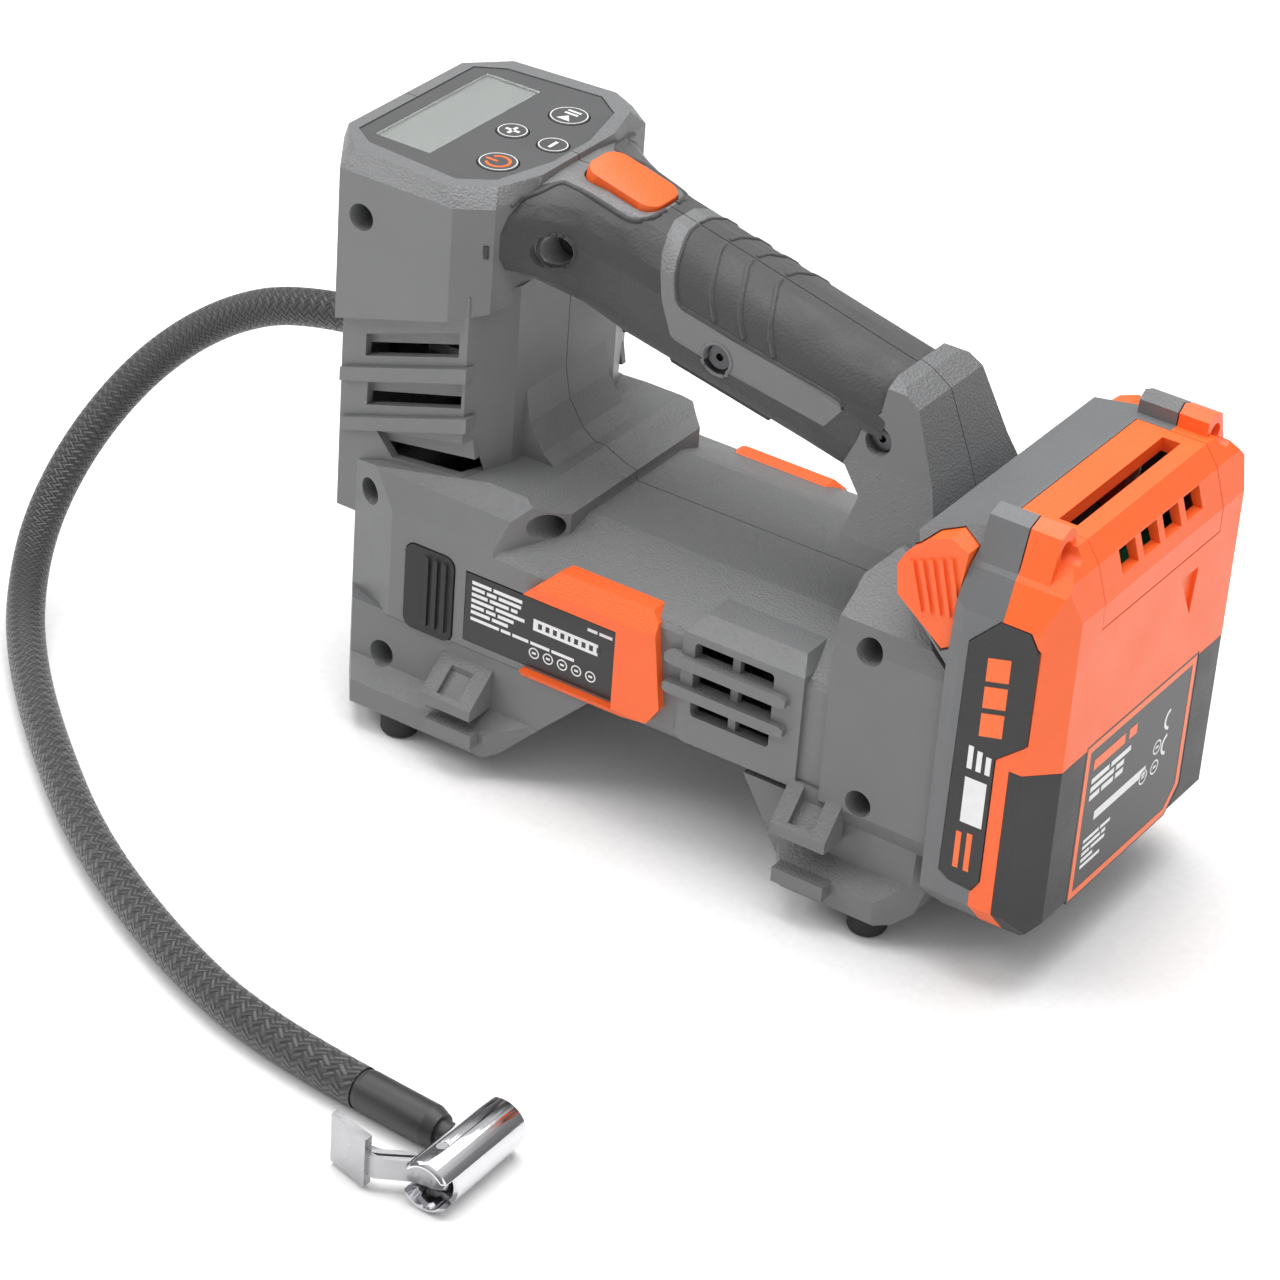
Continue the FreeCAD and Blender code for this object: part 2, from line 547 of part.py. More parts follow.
# Rubber skin of the handle, one moulding on each shell.
skin_holes = [rod("skin_hole_%d" % index, (x, -FAR, z), (0, 1, 0), 4.8, FAR)
              for index, (x, z, _) in enumerate(SCREWS[1:3])]
skin_full = cut("skin_full", skin_rough, pillar, *skin_holes)
keep("grip_left", common("skin_near", skin_full, near_half))
keep("grip_right", common("skin_far", skin_full, far_half))

# ---------------------------------------------------------------- control head

keys = {"button_start": (-75.0, 17.0, "LargeKey"), "button_power": (-73.0, -17.3, "LargeKey"),
        "button_plus": (-80.8, 0.0, "SmallKey"), "button_minus": (-68.2, 0.0, "SmallKey")}
key_holes = []
for node, (x, y, radius) in keys.items():
    key_holes.append(rod(node + "_hole", (x, y, 140), (0, 0, 1), radius + " + KeyGap", 30))
    cap = rod(node + "_cap", (x, y, TOP - 1.6), (0, 0, 1), radius, 1.6)
    stem = rod(node + "_stem", (x, y, TOP - 3.4), (0, 0, 1), 1.6, 2.0)
    keep(node, fuse(node + "_shape", cap, stem))
window_plan = rounded(-106.3, -89.0, -24.6, 24.6, 0.8)
bezel = pad("bezel", "XY", shrunk(panel_plan, 0.25), "BodyTop - 2.15", "BodyTop - 0.25")
window_opening = pad("window_opening", "XY", window_plan, "BodyTop - 6", "BodyTop + 1")
keep("control_panel", cut("panel_plate", bezel, window_opening, *key_holes))
keep("display_window", pad("window_glass", "XY", rounded(-106.2, -89.1, -24.5, 24.5, 0.7),
                           "BodyTop - 1.95", "BodyTop - 0.3"))
keep("display_module", block("lcd", (-106.9, -24.8, "BodyTop - 5.6"), (-87.6, 24.8, "BodyTop - 2.3")))
control_plate = pad("control_plate", "XY", shrunk(panel_plan, 3.2), "BodyTop - 7.6", "BodyTop - 6")
tact = [block("tact_%s" % node, (x - 3, y - 3, "BodyTop - 6.05"), (x + 3, y + 3, "BodyTop - 4.0"))
        for node, (x, y, _) in keys.items()]
keep("control_board", fuse("control_board_set", control_plate, *tact))

switch_cap = pad("switch_cap", "XY", rounded(-11.2, 11.2, -7.3, 7.3, 4.6), -1.0, 6.6)
switch_foot = block("switch_foot", (5, -2.5, -3.4), (9, 2.5, -0.9))
switch_whole = fuse("switch_whole", switch_cap, switch_foot)
switch_whole.Placement = switch_tilt
keep("switch_button", switch_whole)
switch_body = pad("switch_body", "XY", rounded(5.6, 15.5, -4.6, 4.6, 0.5), -13, -5.0)
switch_body.Placement = switch_tilt
keep("switch_module", switch_body)

# Ribbed rubber strip under the handle.
strip_side = [(-24.0, 114.5), (6.0, 108.3), (7.0, 110.3), (4.5, 111.8), (-22.0, 117.5), (-25.2, 116.3)]
strip_bar = pad("strip_bar", "XZ", strip_side, -7, 7)
STRIP_FALL = 0.206         # fall of the strip for each millimetre of length
strip_ribs = []
for index in range(8):
    left = -22 + 3.2 * index
    low = 113.9 - STRIP_FALL * (left + 24)
    rib = [(left, low), (left + 1.6, low - 0.3), (left + 1.6, low + 2.0), (left, low + 2.3)]
    strip_ribs.append(pad("strip_rib_%d" % index, "XZ", rib, -5.6, 5.6))
keep("grip_strip", cut("grip_strip_shape", fuse("strip_set", strip_bar, *strip_ribs), handle_outer))

# ---------------------------------------------------------------- trim of the flanks

insert_ribs = [rounded(left, left + 1.5, 35.5, 56.5, 0.7) for left in (-70.6, -67.8, -65.0)]
insert_plan = rounded(-77.0, -61.6, 33.2, 58.4, 3.0)
rating_plan = shrunk(label_side, 0.3)
plates = both_flanks("insert_plate", insert_plan, 1.4, 0.4)
rib_pairs = [both_flanks("insert_rib_%d" % index, outline, 0.2, 1.2)
             for index, outline in enumerate(insert_ribs)]
labels = both_flanks("rating_plate", rating_plan, 0.7, 0.2)
for flank, stem in enumerate(("left", "right")):
    ribs = [pair[flank] for pair in rib_pairs]
    keep("side_insert_" + stem, fuse("insert_" + stem, plates[flank], *ribs))
    keep("rating_plate_" + stem, labels[flank])
cover_whole = common("cover_whole", pad("cover_outline", "XZ", cover_side, -60, 60),
                     pad("cover_section", "YZ", cover_section, -60, 20))
cover_skin = cut("cover_skin", cover_whole, clam_outer)
keep("side_cover_left", common("cover_near", cover_skin, near_half))
keep("side_cover_right", common("cover_far", cover_skin, far_half))

# ---------------------------------------------------------------- compressor

MODULE = size("GearModule")
PINION = int(size("PinionTeeth"))
CRANK = int(size("CrankTeeth"))
THROW = size("CrankThrow")
MOTOR_Z = size("MotorHeight")
CRANK_Z = MOTOR_Z + MODULE * (PINION + CRANK) / 2
ROD_X = -78.5
GEAR_X = -70.0
PIN_Z = CRANK_Z - THROW
BORE_Z = size("BoreHeight")
PISTON_Z = BORE_Z + 0.5   # underside of the piston at the bottom of its stroke


def gear(name, teeth, phase, x, width, centre_z, hole):
    """A spur gear with straight-sided teeth and generous backlash, axis along x."""
    pitch = MODULE * teeth / 2
    pitch_angle = 2 * math.pi / teeth
    profile = []
    for tooth in range(teeth):
        middle = phase + tooth * pitch_angle
        for share, radius in ((-0.27, pitch - 1.2 * MODULE), (-0.10, pitch + 0.85 * MODULE),
                              (0.10, pitch + 0.85 * MODULE), (0.27, pitch - 1.2 * MODULE)):
            angle = middle + share * pitch_angle
            profile.append(Vector(x, radius * math.cos(angle), centre_z + radius * math.sin(angle)))
    blank = Part.Face(Part.makePolygon(profile + profile[:1])).extrude(Vector(width, 0, 0))
    core = Part.makeCylinder(hole, width + 2, Vector(x - 1, 0, centre_z), Vector(1, 0, 0))
    return made(name, blank.cut(core))


gear_blank = gear("gear_blank", CRANK, math.pi / CRANK, GEAR_X, 5.5, CRANK_Z, 2.9)
web = rod("web", (GEAR_X - 2, 0, CRANK_Z), (1, 0, 0), 11, 2.2)
crank_axle = rod("crank_axle", (GEAR_X - 0.5, 0, CRANK_Z), (1, 0, 0), 2.95, 12.0)
crank_stub = rod("crank_stub", (GEAR_X - 5.2, 0, PIN_Z), (1, 0, 0), 2.4, 5)
keep("crank_gear", fuse("crank_gear_set", gear_blank, web, crank_stub, crank_axle))
bearing_profile = [(3.0, 0), (5.5, 0), (5.5, 4), (3.0, 4)]
keep("crank_bearing", turned("bearing", bearing_profile, (-62.5, 0, CRANK_Z), (1, 0, 0)))
keep("motor_pinion", gear("pinion_blank", PINION, 0.5 * math.pi, GEAR_X - 0.6, 6.6, MOTOR_Z, 1.58))
keep("motor_shaft", rod("motor_axle", (GEAR_X - 1.5, 0, MOTOR_Z), (1, 0, 0), 1.58, 86))
CAN = size("MotorRadius")
CAN_LONG = size("MotorLength")
can_profile = [(3.2, 0), (CAN - 1, 0), (CAN, 1.5), (CAN, CAN_LONG - 2), (CAN - 1, CAN_LONG), (3.2, CAN_LONG),
               (3.2, CAN_LONG - 2), (CAN - 1.4, CAN_LONG - 2), (CAN - 1.4, 2.0), (3.2, 2.0)]
keep("motor_can", turned("motor_tube", can_profile, (-58.5, 0, MOTOR_Z), (1, 0, 0)))
keep("motor_rotor", turned("rotor_core", [(1.6, 0), (13.5, 0), (13.5, 38), (6.0, 39), (6.0, 46), (1.6, 46)],
                           (-54, 0, MOTOR_Z), (1, 0, 0)))
hub = turned("fan_hub", [(1.6, 0), (5.0, 0), (5.0, 7.5), (1.6, 7.5)], (4.5, 0, MOTOR_Z), (1, 0, 0))
blades = []
for index in range(9):
    blade = Part.makeBox(6.5, 11.6, 1.1, Vector(0, 4.6, -0.55))
    blade.rotate(Vector(0, 0, 0), Vector(0, 1, 0), 28)
    blade.rotate(Vector(0, 0, 0), Vector(1, 0, 0), 40.0 * index)
    blade.translate(Vector(5.2, 0, MOTOR_Z))
    blades.append(made("fan_blade_%d" % index, blade))
keep("cooling_fan", fuse("fan_set", hub, *blades))

# Frame: an upright plate on the motor's nose, and a shelf that carries the cylinder.
upright = pad("upright", "YZ", spanned([(13, 84), (13, 77), (17, 76), (17, 34)]), -62.9, -58.7)
riser = block("riser", (-64.3, -13, 80), (-62.6, 13, "BoreHeight"))
shelf = block("shelf", (-94, -14, "BoreHeight - 3"), (-62.8, 14, "BoreHeight"))
frame_cuts = [rod("frame_bearing_seat", (-66, 0, CRANK_Z), (1, 0, 0), 5.5, 10),
              rod("frame_motor_seat", (-66, 0, MOTOR_Z), (1, 0, 0), 6.2, 10),
              rod("frame_bore_seat", (ROD_X, 0, 80), (0, 0, 1), 12.1, 30)]
keep("pump_frame", cut("frame_set", fuse("frame_blank", upright, riser, shelf), *frame_cuts))
SLEEVE = 12.0              # outside of the cylinder between its cooling fins
FIN = 14.0
BARREL_LONG = 24.5
SEAT_DEPTH = 3.1           # how far the cylinder sits in the shelf
barrel_profile = [(size("BoreRadius"), 0), (SLEEVE, 0)]
for low, high in ((3.1, 5.0), (8.5, 10.5), (14, 16)):
    barrel_profile += [(SLEEVE, low), (FIN, low), (FIN, high), (SLEEVE, high)]
barrel_profile += [(SLEEVE, 19.5), (FIN, 19.5), (FIN, BARREL_LONG), (size("BoreRadius"), BARREL_LONG)]
keep("cylinder", turned("barrel", barrel_profile, (ROD_X, 0, BORE_Z - SEAT_DEPTH), (0, 0, 1)))
lid_z = BORE_Z - SEAT_DEPTH + BARREL_LONG
lid_profile = [(0, 0), (FIN, 0), (FIN, 2.4), (11.5, 2.4), (11.5, 6.0), (0, 6.0)]
lid = turned("lid", lid_profile, (ROD_X, 0, lid_z), (0, 0, 1))
lid_port = rod("lid_port", (ROD_X - 8, 0, lid_z + 3.8), (-1, 0, 0), 2.0, 10)
keep("cylinder_head", cut("lid_shape", lid, lid_port))
piston_crown = rod("piston_crown", (ROD_X, 0, PISTON_Z), (0, 0, 1), "BoreRadius - PistonGap", 6.5)
rod_eye = cut("rod_eye", rod("rod_ring", (ROD_X - 2.4, 0, PIN_Z), (1, 0, 0), 5.2, 4.8),
              rod("rod_hole", (ROD_X - 3, 0, PIN_Z), (1, 0, 0), 2.45, 6))
rod_bar = block("rod_bar", (ROD_X - 2, -2.2, PIN_Z + 4.6), (ROD_X + 2, 2.2, PISTON_Z + 0.5))
keep("connecting_rod", fuse("piston_rod", rod_eye, rod_bar, piston_crown))


def pipe(name, points, radius):
    """A tube of straight runs joined by tangent arcs, as large as their runs allow."""
    corners = [Vector(*point) for point in points]
    edges = []
    here = corners[0]
    bends = []
    for before, corner, after in zip(corners, corners[1:], corners[2:]):
        back = (before - corner)
        ahead = (after - corner)
        reach = 0.45 * min(back.Length, ahead.Length)
        back.normalize()
        ahead.normalize()
        half_turn = (math.pi - math.acos(max(-1.0, min(1.0, back.dot(ahead))))) / 2
        bend = reach / math.tan(half_turn)
        bends.append(bend)
        start = corner + back * reach
        end = corner + ahead * reach
        inward = (back + ahead).normalize()
        middle = corner + inward * (bend / math.cos(half_turn) - bend)
        edges.append(Part.LineSegment(here, start).toShape())
        edges.append(Part.Arc(start, middle, end).toShape())
        here = end
    edges.append(Part.LineSegment(here, corners[-1]).toShape())
    path = Part.Wire(edges)
    heading = (corners[1] - corners[0]).normalize()
    ring = Part.Wire(Part.makeCircle(radius, corners[0], heading))
    shape = path.makePipeShell([ring], True, True)
    if shape.Volume < 0:
        shape.reverse()
    return made(name, shape), path.Length, bends


port_z = lid_z + 3.8
GLAND_BACK = -107.4
GLAND_END = -121.0
gland_long = GLAND_BACK - GLAND_END
gland_profile = [(2.1, 0), (8.5, 0), (8.5, 3.2), (6.1, 3.2), (6.1, 8.5), (7.9, 8.5), (7.3, gland_long),
                 (3.0, gland_long), (3.0, 3.0), (2.1, 3.0)]
outlet_route = [(ROD_X - 10, 0, port_z), (-101, 0, port_z), (-101, 0, 90), (GLAND_BACK - 2.5, 0, 90)]
outlet, _, _ = pipe("outlet_pipe", outlet_route, 1.95)
keep("air_pipe", outlet)
keep("hose_gland", turned("gland", gland_profile, (GLAND_BACK, 0, 90), (-1, 0, 0)))

sensor_can = rod("sensor_can", (-84, 12, TOP - 13.5), (0, 0, 1), 4.0, 5.8)
sensor_port = rod("sensor_port", (-84, 12, TOP - 18.0), (0, 0, 1), 1.6, 5.0)
keep("pressure_sensor", fuse("sensor_set", sensor_can, sensor_port))
drive_plate = block("drive_plate", (43.0, -24, 36), (44.6, 24, 66))
drive_parts = [block("drive_chip", (39.5, -18, 44), (43.1, -8, 56)),
               rod("drive_cap", (43.1, 8, 52), (-1, 0, 0), 5, 12)]
keep("drive_board", fuse("drive_set", drive_plate, *drive_parts))
doc.recompute()

# ---------------------------------------------------------------- battery pack

PACK = size("PackHalf")
PACK_TOP = size("PackTop")
PACK_FLOOR = size("PackFloor")
PACK_FACE = 84.3          # x of the face towards the tool
SHELL_SEAM = 98.5         # x of the joint between the grey and the orange shell
CELL_X = 103.2
pack_side = [(88, PACK_FLOOR), (PACK_FACE, 20), (PACK_FACE, 87.5), (66.5, 100), (66.5, 109), (71, 118),
             (88, PACK_TOP), (108.5, PACK_TOP), (112.3, 118), (END, 108), (END, 22), (110, PACK_FLOOR)]
pack_plan = mirrored([(66.5, 38), (72, 44.5), (88, PACK), (108.5, PACK), (END, 41.25)])
pack_section = spanned([(37, PACK_TOP + 0.5), (45, 115), (PACK, 105), (PACK, 24), (41, PACK_FLOOR - 0.5)])
pack_outer = mass("pack_outer", pack_side, pack_plan, pack_section)
room_side = [(86, 84.6), (93.9, 84.6), (93.9, 19.5), (112.9, 19.5), (112.9, 108), (108, 119), (88, 119),
             (73, 115), (70, 108), (70, 101)]
room_plan = mirrored([(68, 36), (73, 42), (89, 46.3), (108, 46.3), (112.9, 40)])
room_section = spanned([(36, 120), (43, 113), (46.3, 104), (46.3, 25), (39.5, 19.5)])
pack_room = mass("pack_room", room_side, room_plan, room_section)
front_region = block("front_region", (60, -FAR, 0), (SHELL_SEAM, FAR, 140))
lower_region = fuse("lower_region", block("lower_sides", (105, -FAR, 0), (130, FAR, 66)),
                    block("lower_base", (SHELL_SEAM, -41, 0), (130, 41, 22)))
plate_room = [(89, 118), (89, 130), (118, 130), (118, 101), (107, 101), (107, 118)]
plate_region = pad("plate_region", "XZ", plate_room, -30.2, 30.2)
rail_way = fuse("rail_way", block("rail_way_stem", (80, -20.4, 0), (88.6, 20.4, 81.4)),
                block("rail_way_head", (87.4, -24.4, 0), (91.0, 24.4, 81.4)))
blade_way = block("blade_way", (72, -13.5, 80), (83.0, 13.5, 108.5))
button_side = [(68.5, 100.6), (67.6, 108.4), (69.6, 112.4), (76, 118.6), (81.2, 120.6), (86.4, 118.4),
               (85.2, 108), (84.2, 91.8), (82, 90.4)]
button_hole = pad("button_hole", "XZ", shrunk(button_side, -0.35), -FAR, FAR)
button_span = block("button_span", (60, -33.3, 80), (100, 33.3, 130))
label_plan = [(-29, 20.5), (22.5, 20.5), (29, 27), (29, 67), (-29, 67)]
label_seat = pad("label_seat", "YZ", label_plan, "BodyEnd - 0.8", "BodyEnd + 4")
strip_plan = [(89.6, 31), (92.4, 29.2), (98.8, 28.6), (100.9, 32), (101, 67.8), (108.8, 74.5), (109, 100.5),
              (106.3, 105), (98, 105), (90.4, 97)]
strip_near = pad("strip_near", "XZ", strip_plan, "-PackHalf - 0.3", "-PackHalf + 0.7")
strip_far = pad("strip_far", "XZ", strip_plan, "PackHalf - 0.7", "PackHalf + 0.3")
strip_seats = [pad("strip_seat_near", "XZ", shrunk(strip_plan, -0.2), "-PackHalf - 2", "-PackHalf + 0.8"),
               pad("strip_seat_far", "XZ", shrunk(strip_plan, -0.2), "PackHalf - 0.8", "PackHalf + 2")]
arrow_pocket = pad("arrow_pocket", "YZ", [(11.5, 95.5), (20.5, 95.5), (19, 82.5)], END - 1.2, END + 2)
hooks = {"grey": [], "orange": []}
for colour, left, right in (("grey", 87.5, 98.3), ("orange", 98.7, 107.0)):
    for side in (-1, 1):
        tag = "hook_%s_%s" % (colour, "near" if side < 0 else "far")
        hump_plan = [(side * 32.5, 118), (side * 33.5, 127), (side * 36, 128.8), (side * 40.5, 127.2),
                     (side * 44.0, 116), (side * 40, 112)]
        hooks[colour].append(pad(tag, "YZ", hump_plan, left, right))
loop_holes = [rod("loop_hole_near", (101, -37.5, 122.8), (1, 0, 0), 2.6, 12),
              rod("loop_hole_far", (101, 37.5, 122.8), (1, 0, 0), 2.6, 12)]

pack_wall = cut("pack_wall", pack_outer, pack_room)
front_set = fuse("front_shell_set", common("front_wall", pack_wall, front_region), *hooks["grey"])
button_way = cut("button_way", button_hole, button_span)
keep("battery_front_shell", cut("front_shell", front_set, rail_way, blade_way, button_way, plate_region,
                                *strip_seats))
back_wall = cut("back_wall", pack_wall, front_region)
rear_set = fuse("rear_cover_set", cut("rear_wall", back_wall, lower_region), *hooks["orange"])
keep("battery_rear_cover", cut("rear_cover", rear_set, plate_region, label_seat, arrow_pocket,
                               *(strip_seats + loop_holes)))
lower_wall = common("lower_wall", back_wall, lower_region)
keep("battery_lower_shell", cut("lower_shell", lower_wall, label_seat, *strip_seats))
keep("battery_label", pad("label_plate", "YZ", shrunk(label_plan, 0.2), "BodyEnd - 0.75", "BodyEnd - 0.1"))
keep("battery_side_strips", fuse("strip_pair", strip_near, strip_far))
plate_side = [(89.2, 119.6), (89.2, 130), (118, 130), (118, 101.3), (113.1, 101.3), (113.1, 108.2),
              (108.2, 119.6)]
plate_body = common("plate_body", pack_outer, pad("plate_inner", "XZ", plate_side, -30, 30))
plate_slot = block("plate_slot", (98.5, -26, 110), (103.5, 26, 130))
plate_windows = [block("plate_window_%d" % index, (108.0, y, 111.6), (118, y + 8.0, 117.6))
                 for index, y in enumerate((-20.4, -9.5, 1.4, 12.3))]
keep("battery_top_plate", cut("plate_shape", plate_body, plate_slot, *plate_windows))

springs = []
for side, stem in ((-1, "left"), (1, "right")):
    face = pad("button_face_" + stem, "XZ", button_side, *((-46.6, -36.5) if side < 0 else (36.5, 46.6)))
    ridge_low, ridge_high = sorted((side * 46.4, side * 47.4))
    ridges = []
    for index in range(5):
        left = 71.0 + 2.6 * index
        top = 111.0 + 1.1 * index
        foot = top - 12.5 - 0.6 * index
        ridge = [(left, top), (left + 1.2, top + 0.3), (left + 5.0, foot), (left + 3.8, foot - 0.3)]
        ridges.append(pad("button_ridge_%s_%d" % (stem, index), "XZ", ridge, ridge_low, ridge_high))
    ridge_room = pad("ridge_room_" + stem, "XZ", button_side, ridge_low - 1, ridge_high + 1)
    ridge_set = common("ridge_set_" + stem, fuse("ridge_group_" + stem, *ridges), ridge_room)
    keep("release_button_" + stem, fuse("button_shape_" + stem, face, ridge_set))
    coil_start = (78, side * 33.2, 106)
    coil = rod("coil_" + stem, coil_start, (0, -side, 0), 3.0, 5.6)
    coil_bore = rod("coil_bore_" + stem, (78, side * 40, 106), (0, -side, 0), 2.2, 20)
    springs.append(cut("spring_" + stem, coil, coil_bore))
keep("release_springs", fuse("spring_pair", *springs))
CELL = size("CellRadius")
LONG = size("CellLength")
CELL_FOOT = 25.2           # underside of the cells
cell_profile = [(0, 0), (CELL - 0.6, 0), (CELL, 0.6), (CELL, LONG - 0.6), (CELL - 0.6, LONG), (3, LONG),
                (3, LONG + 1), (0, LONG + 1)]
cells = []
for index in range(5):
    place = (CELL_X, (index - 2) * size("CellPitch"), CELL_FOOT)
    cells.append(turned("cell_%d" % index, cell_profile, place, (0, 0, 1)))
keep("battery_cells", fuse("cell_group", *cells))
holder_plate = pad("holder_plate", "XY", mirrored([(CELL_X, 46.2), (107.9, 46.2), (112.8, 39.9)]), 56, 59)
cell_seats = [rod("cell_seat_%d" % index, (CELL_X, (index - 2) * size("CellPitch"), 50), (0, 0, 1),
                  "CellRadius", 20) for index in range(5)]
keep("cell_holder", cut("holder_shape", holder_plate, *cell_seats))
keep("battery_board", block("cell_board", (94, -40, 92), (112, 40, 93.6)))
blade_plates = []
clip_blocks = []
for index, y in enumerate((-9.0, -3.0, 3.0, 9.0)):
    blade_plates.append(block("blade_%d" % index, (74.5, y - 0.4, 76), (80.5, y + 0.4, 106)))
    outer = block("clip_outer_%d" % index, (74, y - 2.0, 103.6), (81, y + 2.0, 112))
    slit = block("clip_slit_%d" % index, (70, y - 0.65, 100), (84, y + 0.65, 107))
    clip_blocks.append(cut("clip_%d" % index, outer, slit))
keep("battery_contacts", fuse("contact_group", *clip_blocks))
terminal_base = block("terminal_base", (68.2, -12.6, 66), (81.0, 12.6, 80.5))
keep("terminal_block", fuse("terminal_set", terminal_base, *blade_plates))

# ---------------------------------------------------------------- air hose and valve chuck

HOSE = size("HoseRadius")
CHUCK = size("ChuckRadius")
HOSE_Y = -180.0
ROUTE = [(GLAND_END, 0, 90), (-145, -0.5, 87.5), (-168, -4.5, 77.5), (-185.5, -15, 61.5), (-195, -31, 42),
         (-195, -50, 24), (-185.5, -68.5, 11), (-169, -87, HOSE), (-140, -113, HOSE), (-102, -142, HOSE),
         (-58, -165, HOSE), (-19, -178, HOSE), (13, HOSE_Y, HOSE)]
hose, hose_length, hose_bends = pipe("hose", ROUTE, HOSE)
print("hose length %.1f" % hose_length)
print("hose bend radii", [round(bend, 1) for bend in hose_bends])
print("hose volume ratio %.4f" % (hose.Shape.Volume / (math.pi * HOSE ** 2 * hose_length)))
keep("air_hose", hose)
heading = (Vector(*ROUTE[-1]) - Vector(*ROUTE[-2])).normalize()
aim = (heading.x, heading.y, heading.z)
FERRULE = size("FerruleRadius")
NIPPLE = 3.1               # radius of the ferrule's end inside the chuck
FERRULE_LONG = 28.6
ferrule_profile = [(0, 0), (4.9, 0), (FERRULE - 0.3, 1.5), (FERRULE - 0.3, 21), (FERRULE - 1.4, 24),
                   (NIPPLE, 24), (NIPPLE, FERRULE_LONG), (0, FERRULE_LONG)]
keep("hose_ferrule", turned("ferrule", ferrule_profile, ROUTE[-1], aim))
CHUCK_X = ROUTE[-1][0] + FERRULE_LONG + CHUCK - 1.0
CHUCK_BACK = HOSE_Y - 23.0
CHUCK_LONG = 32.0
chuck_profile = [(4.3, 0), (CHUCK - 0.8, 0), (CHUCK, 0.8), (CHUCK, CHUCK_LONG - 0.8),
                 (CHUCK - 0.8, CHUCK_LONG), (5.6, CHUCK_LONG), (5.6, 13), (2.0, 13), (2.0, 10.0),
                 (5.6, 10.0), (5.6, 2.0), (4.3, 2.0)]
chuck_tube = turned("chuck_tube", chuck_profile, (CHUCK_X, CHUCK_BACK + CHUCK_LONG, CHUCK), (0, -1, 0))
PIVOT = (CHUCK_X - 1.2, CHUCK_BACK + 8.5)
SLOT_HALF = 3.4            # half of the height of the slot that the lever turns in
lever_slot = block("lever_slot", (CHUCK_X - 12, CHUCK_BACK - 2, CHUCK - SLOT_HALF),
                   (CHUCK_X + 2.2, CHUCK_BACK + 15, CHUCK + SLOT_HALF))
lever_mouth = block("lever_mouth", (CHUCK_X - 3, CHUCK_BACK - 2, CHUCK - SLOT_HALF),
                    (CHUCK_X + 12, CHUCK_BACK + 4, CHUCK + SLOT_HALF))
pin_bore = rod("pin_bore", (PIVOT[0], PIVOT[1], 0), (0, 0, 1), 1.5, 20)
keep("chuck_body", cut("chuck_shape", chuck_tube, lever_slot, lever_mouth, pin_bore,
                       rod("nipple_seat", ROUTE[-1], aim, NIPPLE, FERRULE_LONG)))
keep("chuck_pin", rod("lever_pin", (PIVOT[0], PIVOT[1], 0.35), (0, 0, 1), 1.45, 2 * CHUCK - 0.7))
VALVE = size("ValveRadius")
keep("chuck_seal", turned("washer", [(VALVE, 0), (5.5, 0), (5.5, 7.4), (VALVE, 7.4)],
                          (CHUCK_X, CHUCK_BACK + CHUCK_LONG - 2.1, CHUCK), (0, -1, 0)))
lever_low = CHUCK - 2.9
lever_high = CHUCK + 2.9
eye = rod("lever_eye", (PIVOT[0], PIVOT[1], lever_low), (0, 0, 1), 4.3, lever_high - lever_low)
arm_shape = [(1, -4.2), (-4, -4.8), (-12, -9.5), (-20, -9.5), (-20, -6.8), (-12.5, -5.6),
             (-4.5, -0.5), (-3, 3)]
thumb_shape = [(-14, -10.6), (-26, -7.4), (-26, -5.2), (-14, -8.0)]
pocket_shape = [(-5, -2.6), (-12, -7.2), (-14, -8.2), (-12, -8.2), (-5.5, -4.0)]


def from_pivot(outline):
    """An outline of the lever, moved from its pivot to its place."""
    return [(PIVOT[0] + x, PIVOT[1] + y) for x, y in outline]


arm = pad("lever_arm", "XY", from_pivot(arm_shape), lever_low, lever_high)
thumb = pad("lever_thumb", "XY", from_pivot(thumb_shape), 1.0, 2 * CHUCK + 0.8)
pocket = pad("lever_pocket", "XY", from_pivot(pocket_shape), "ChuckRadius + 1.2", "ChuckRadius + 6")
keep("chuck_lever", cut("lever_shape", fuse("lever_set", eye, arm, thumb), pocket,
                        rod("lever_bore", (PIVOT[0], PIVOT[1], 0), (0, 0, 1), 1.5, 20)))

# ---------------------------------------------------------------- check and write

doc.recompute()
for item in doc.Objects:
    if "Invalid" in item.State or "Error" in item.State:
        raise RuntimeError("%s failed" % item.Name)
os.makedirs("parts", exist_ok=True)
for node, item in parts.items():
    shape = item.Shape
    if shape.isNull() or not shape.isValid() or not shape.Solids:
        raise RuntimeError("%s has no valid solid" % node)
    shape.exportStep("parts/%s.step" % node)
print("%d sub-parts" % len(parts))
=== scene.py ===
import math

import bmesh
import bpy
from mathutils import Matrix, Vector
from mathutils.bvhtree import BVHTree


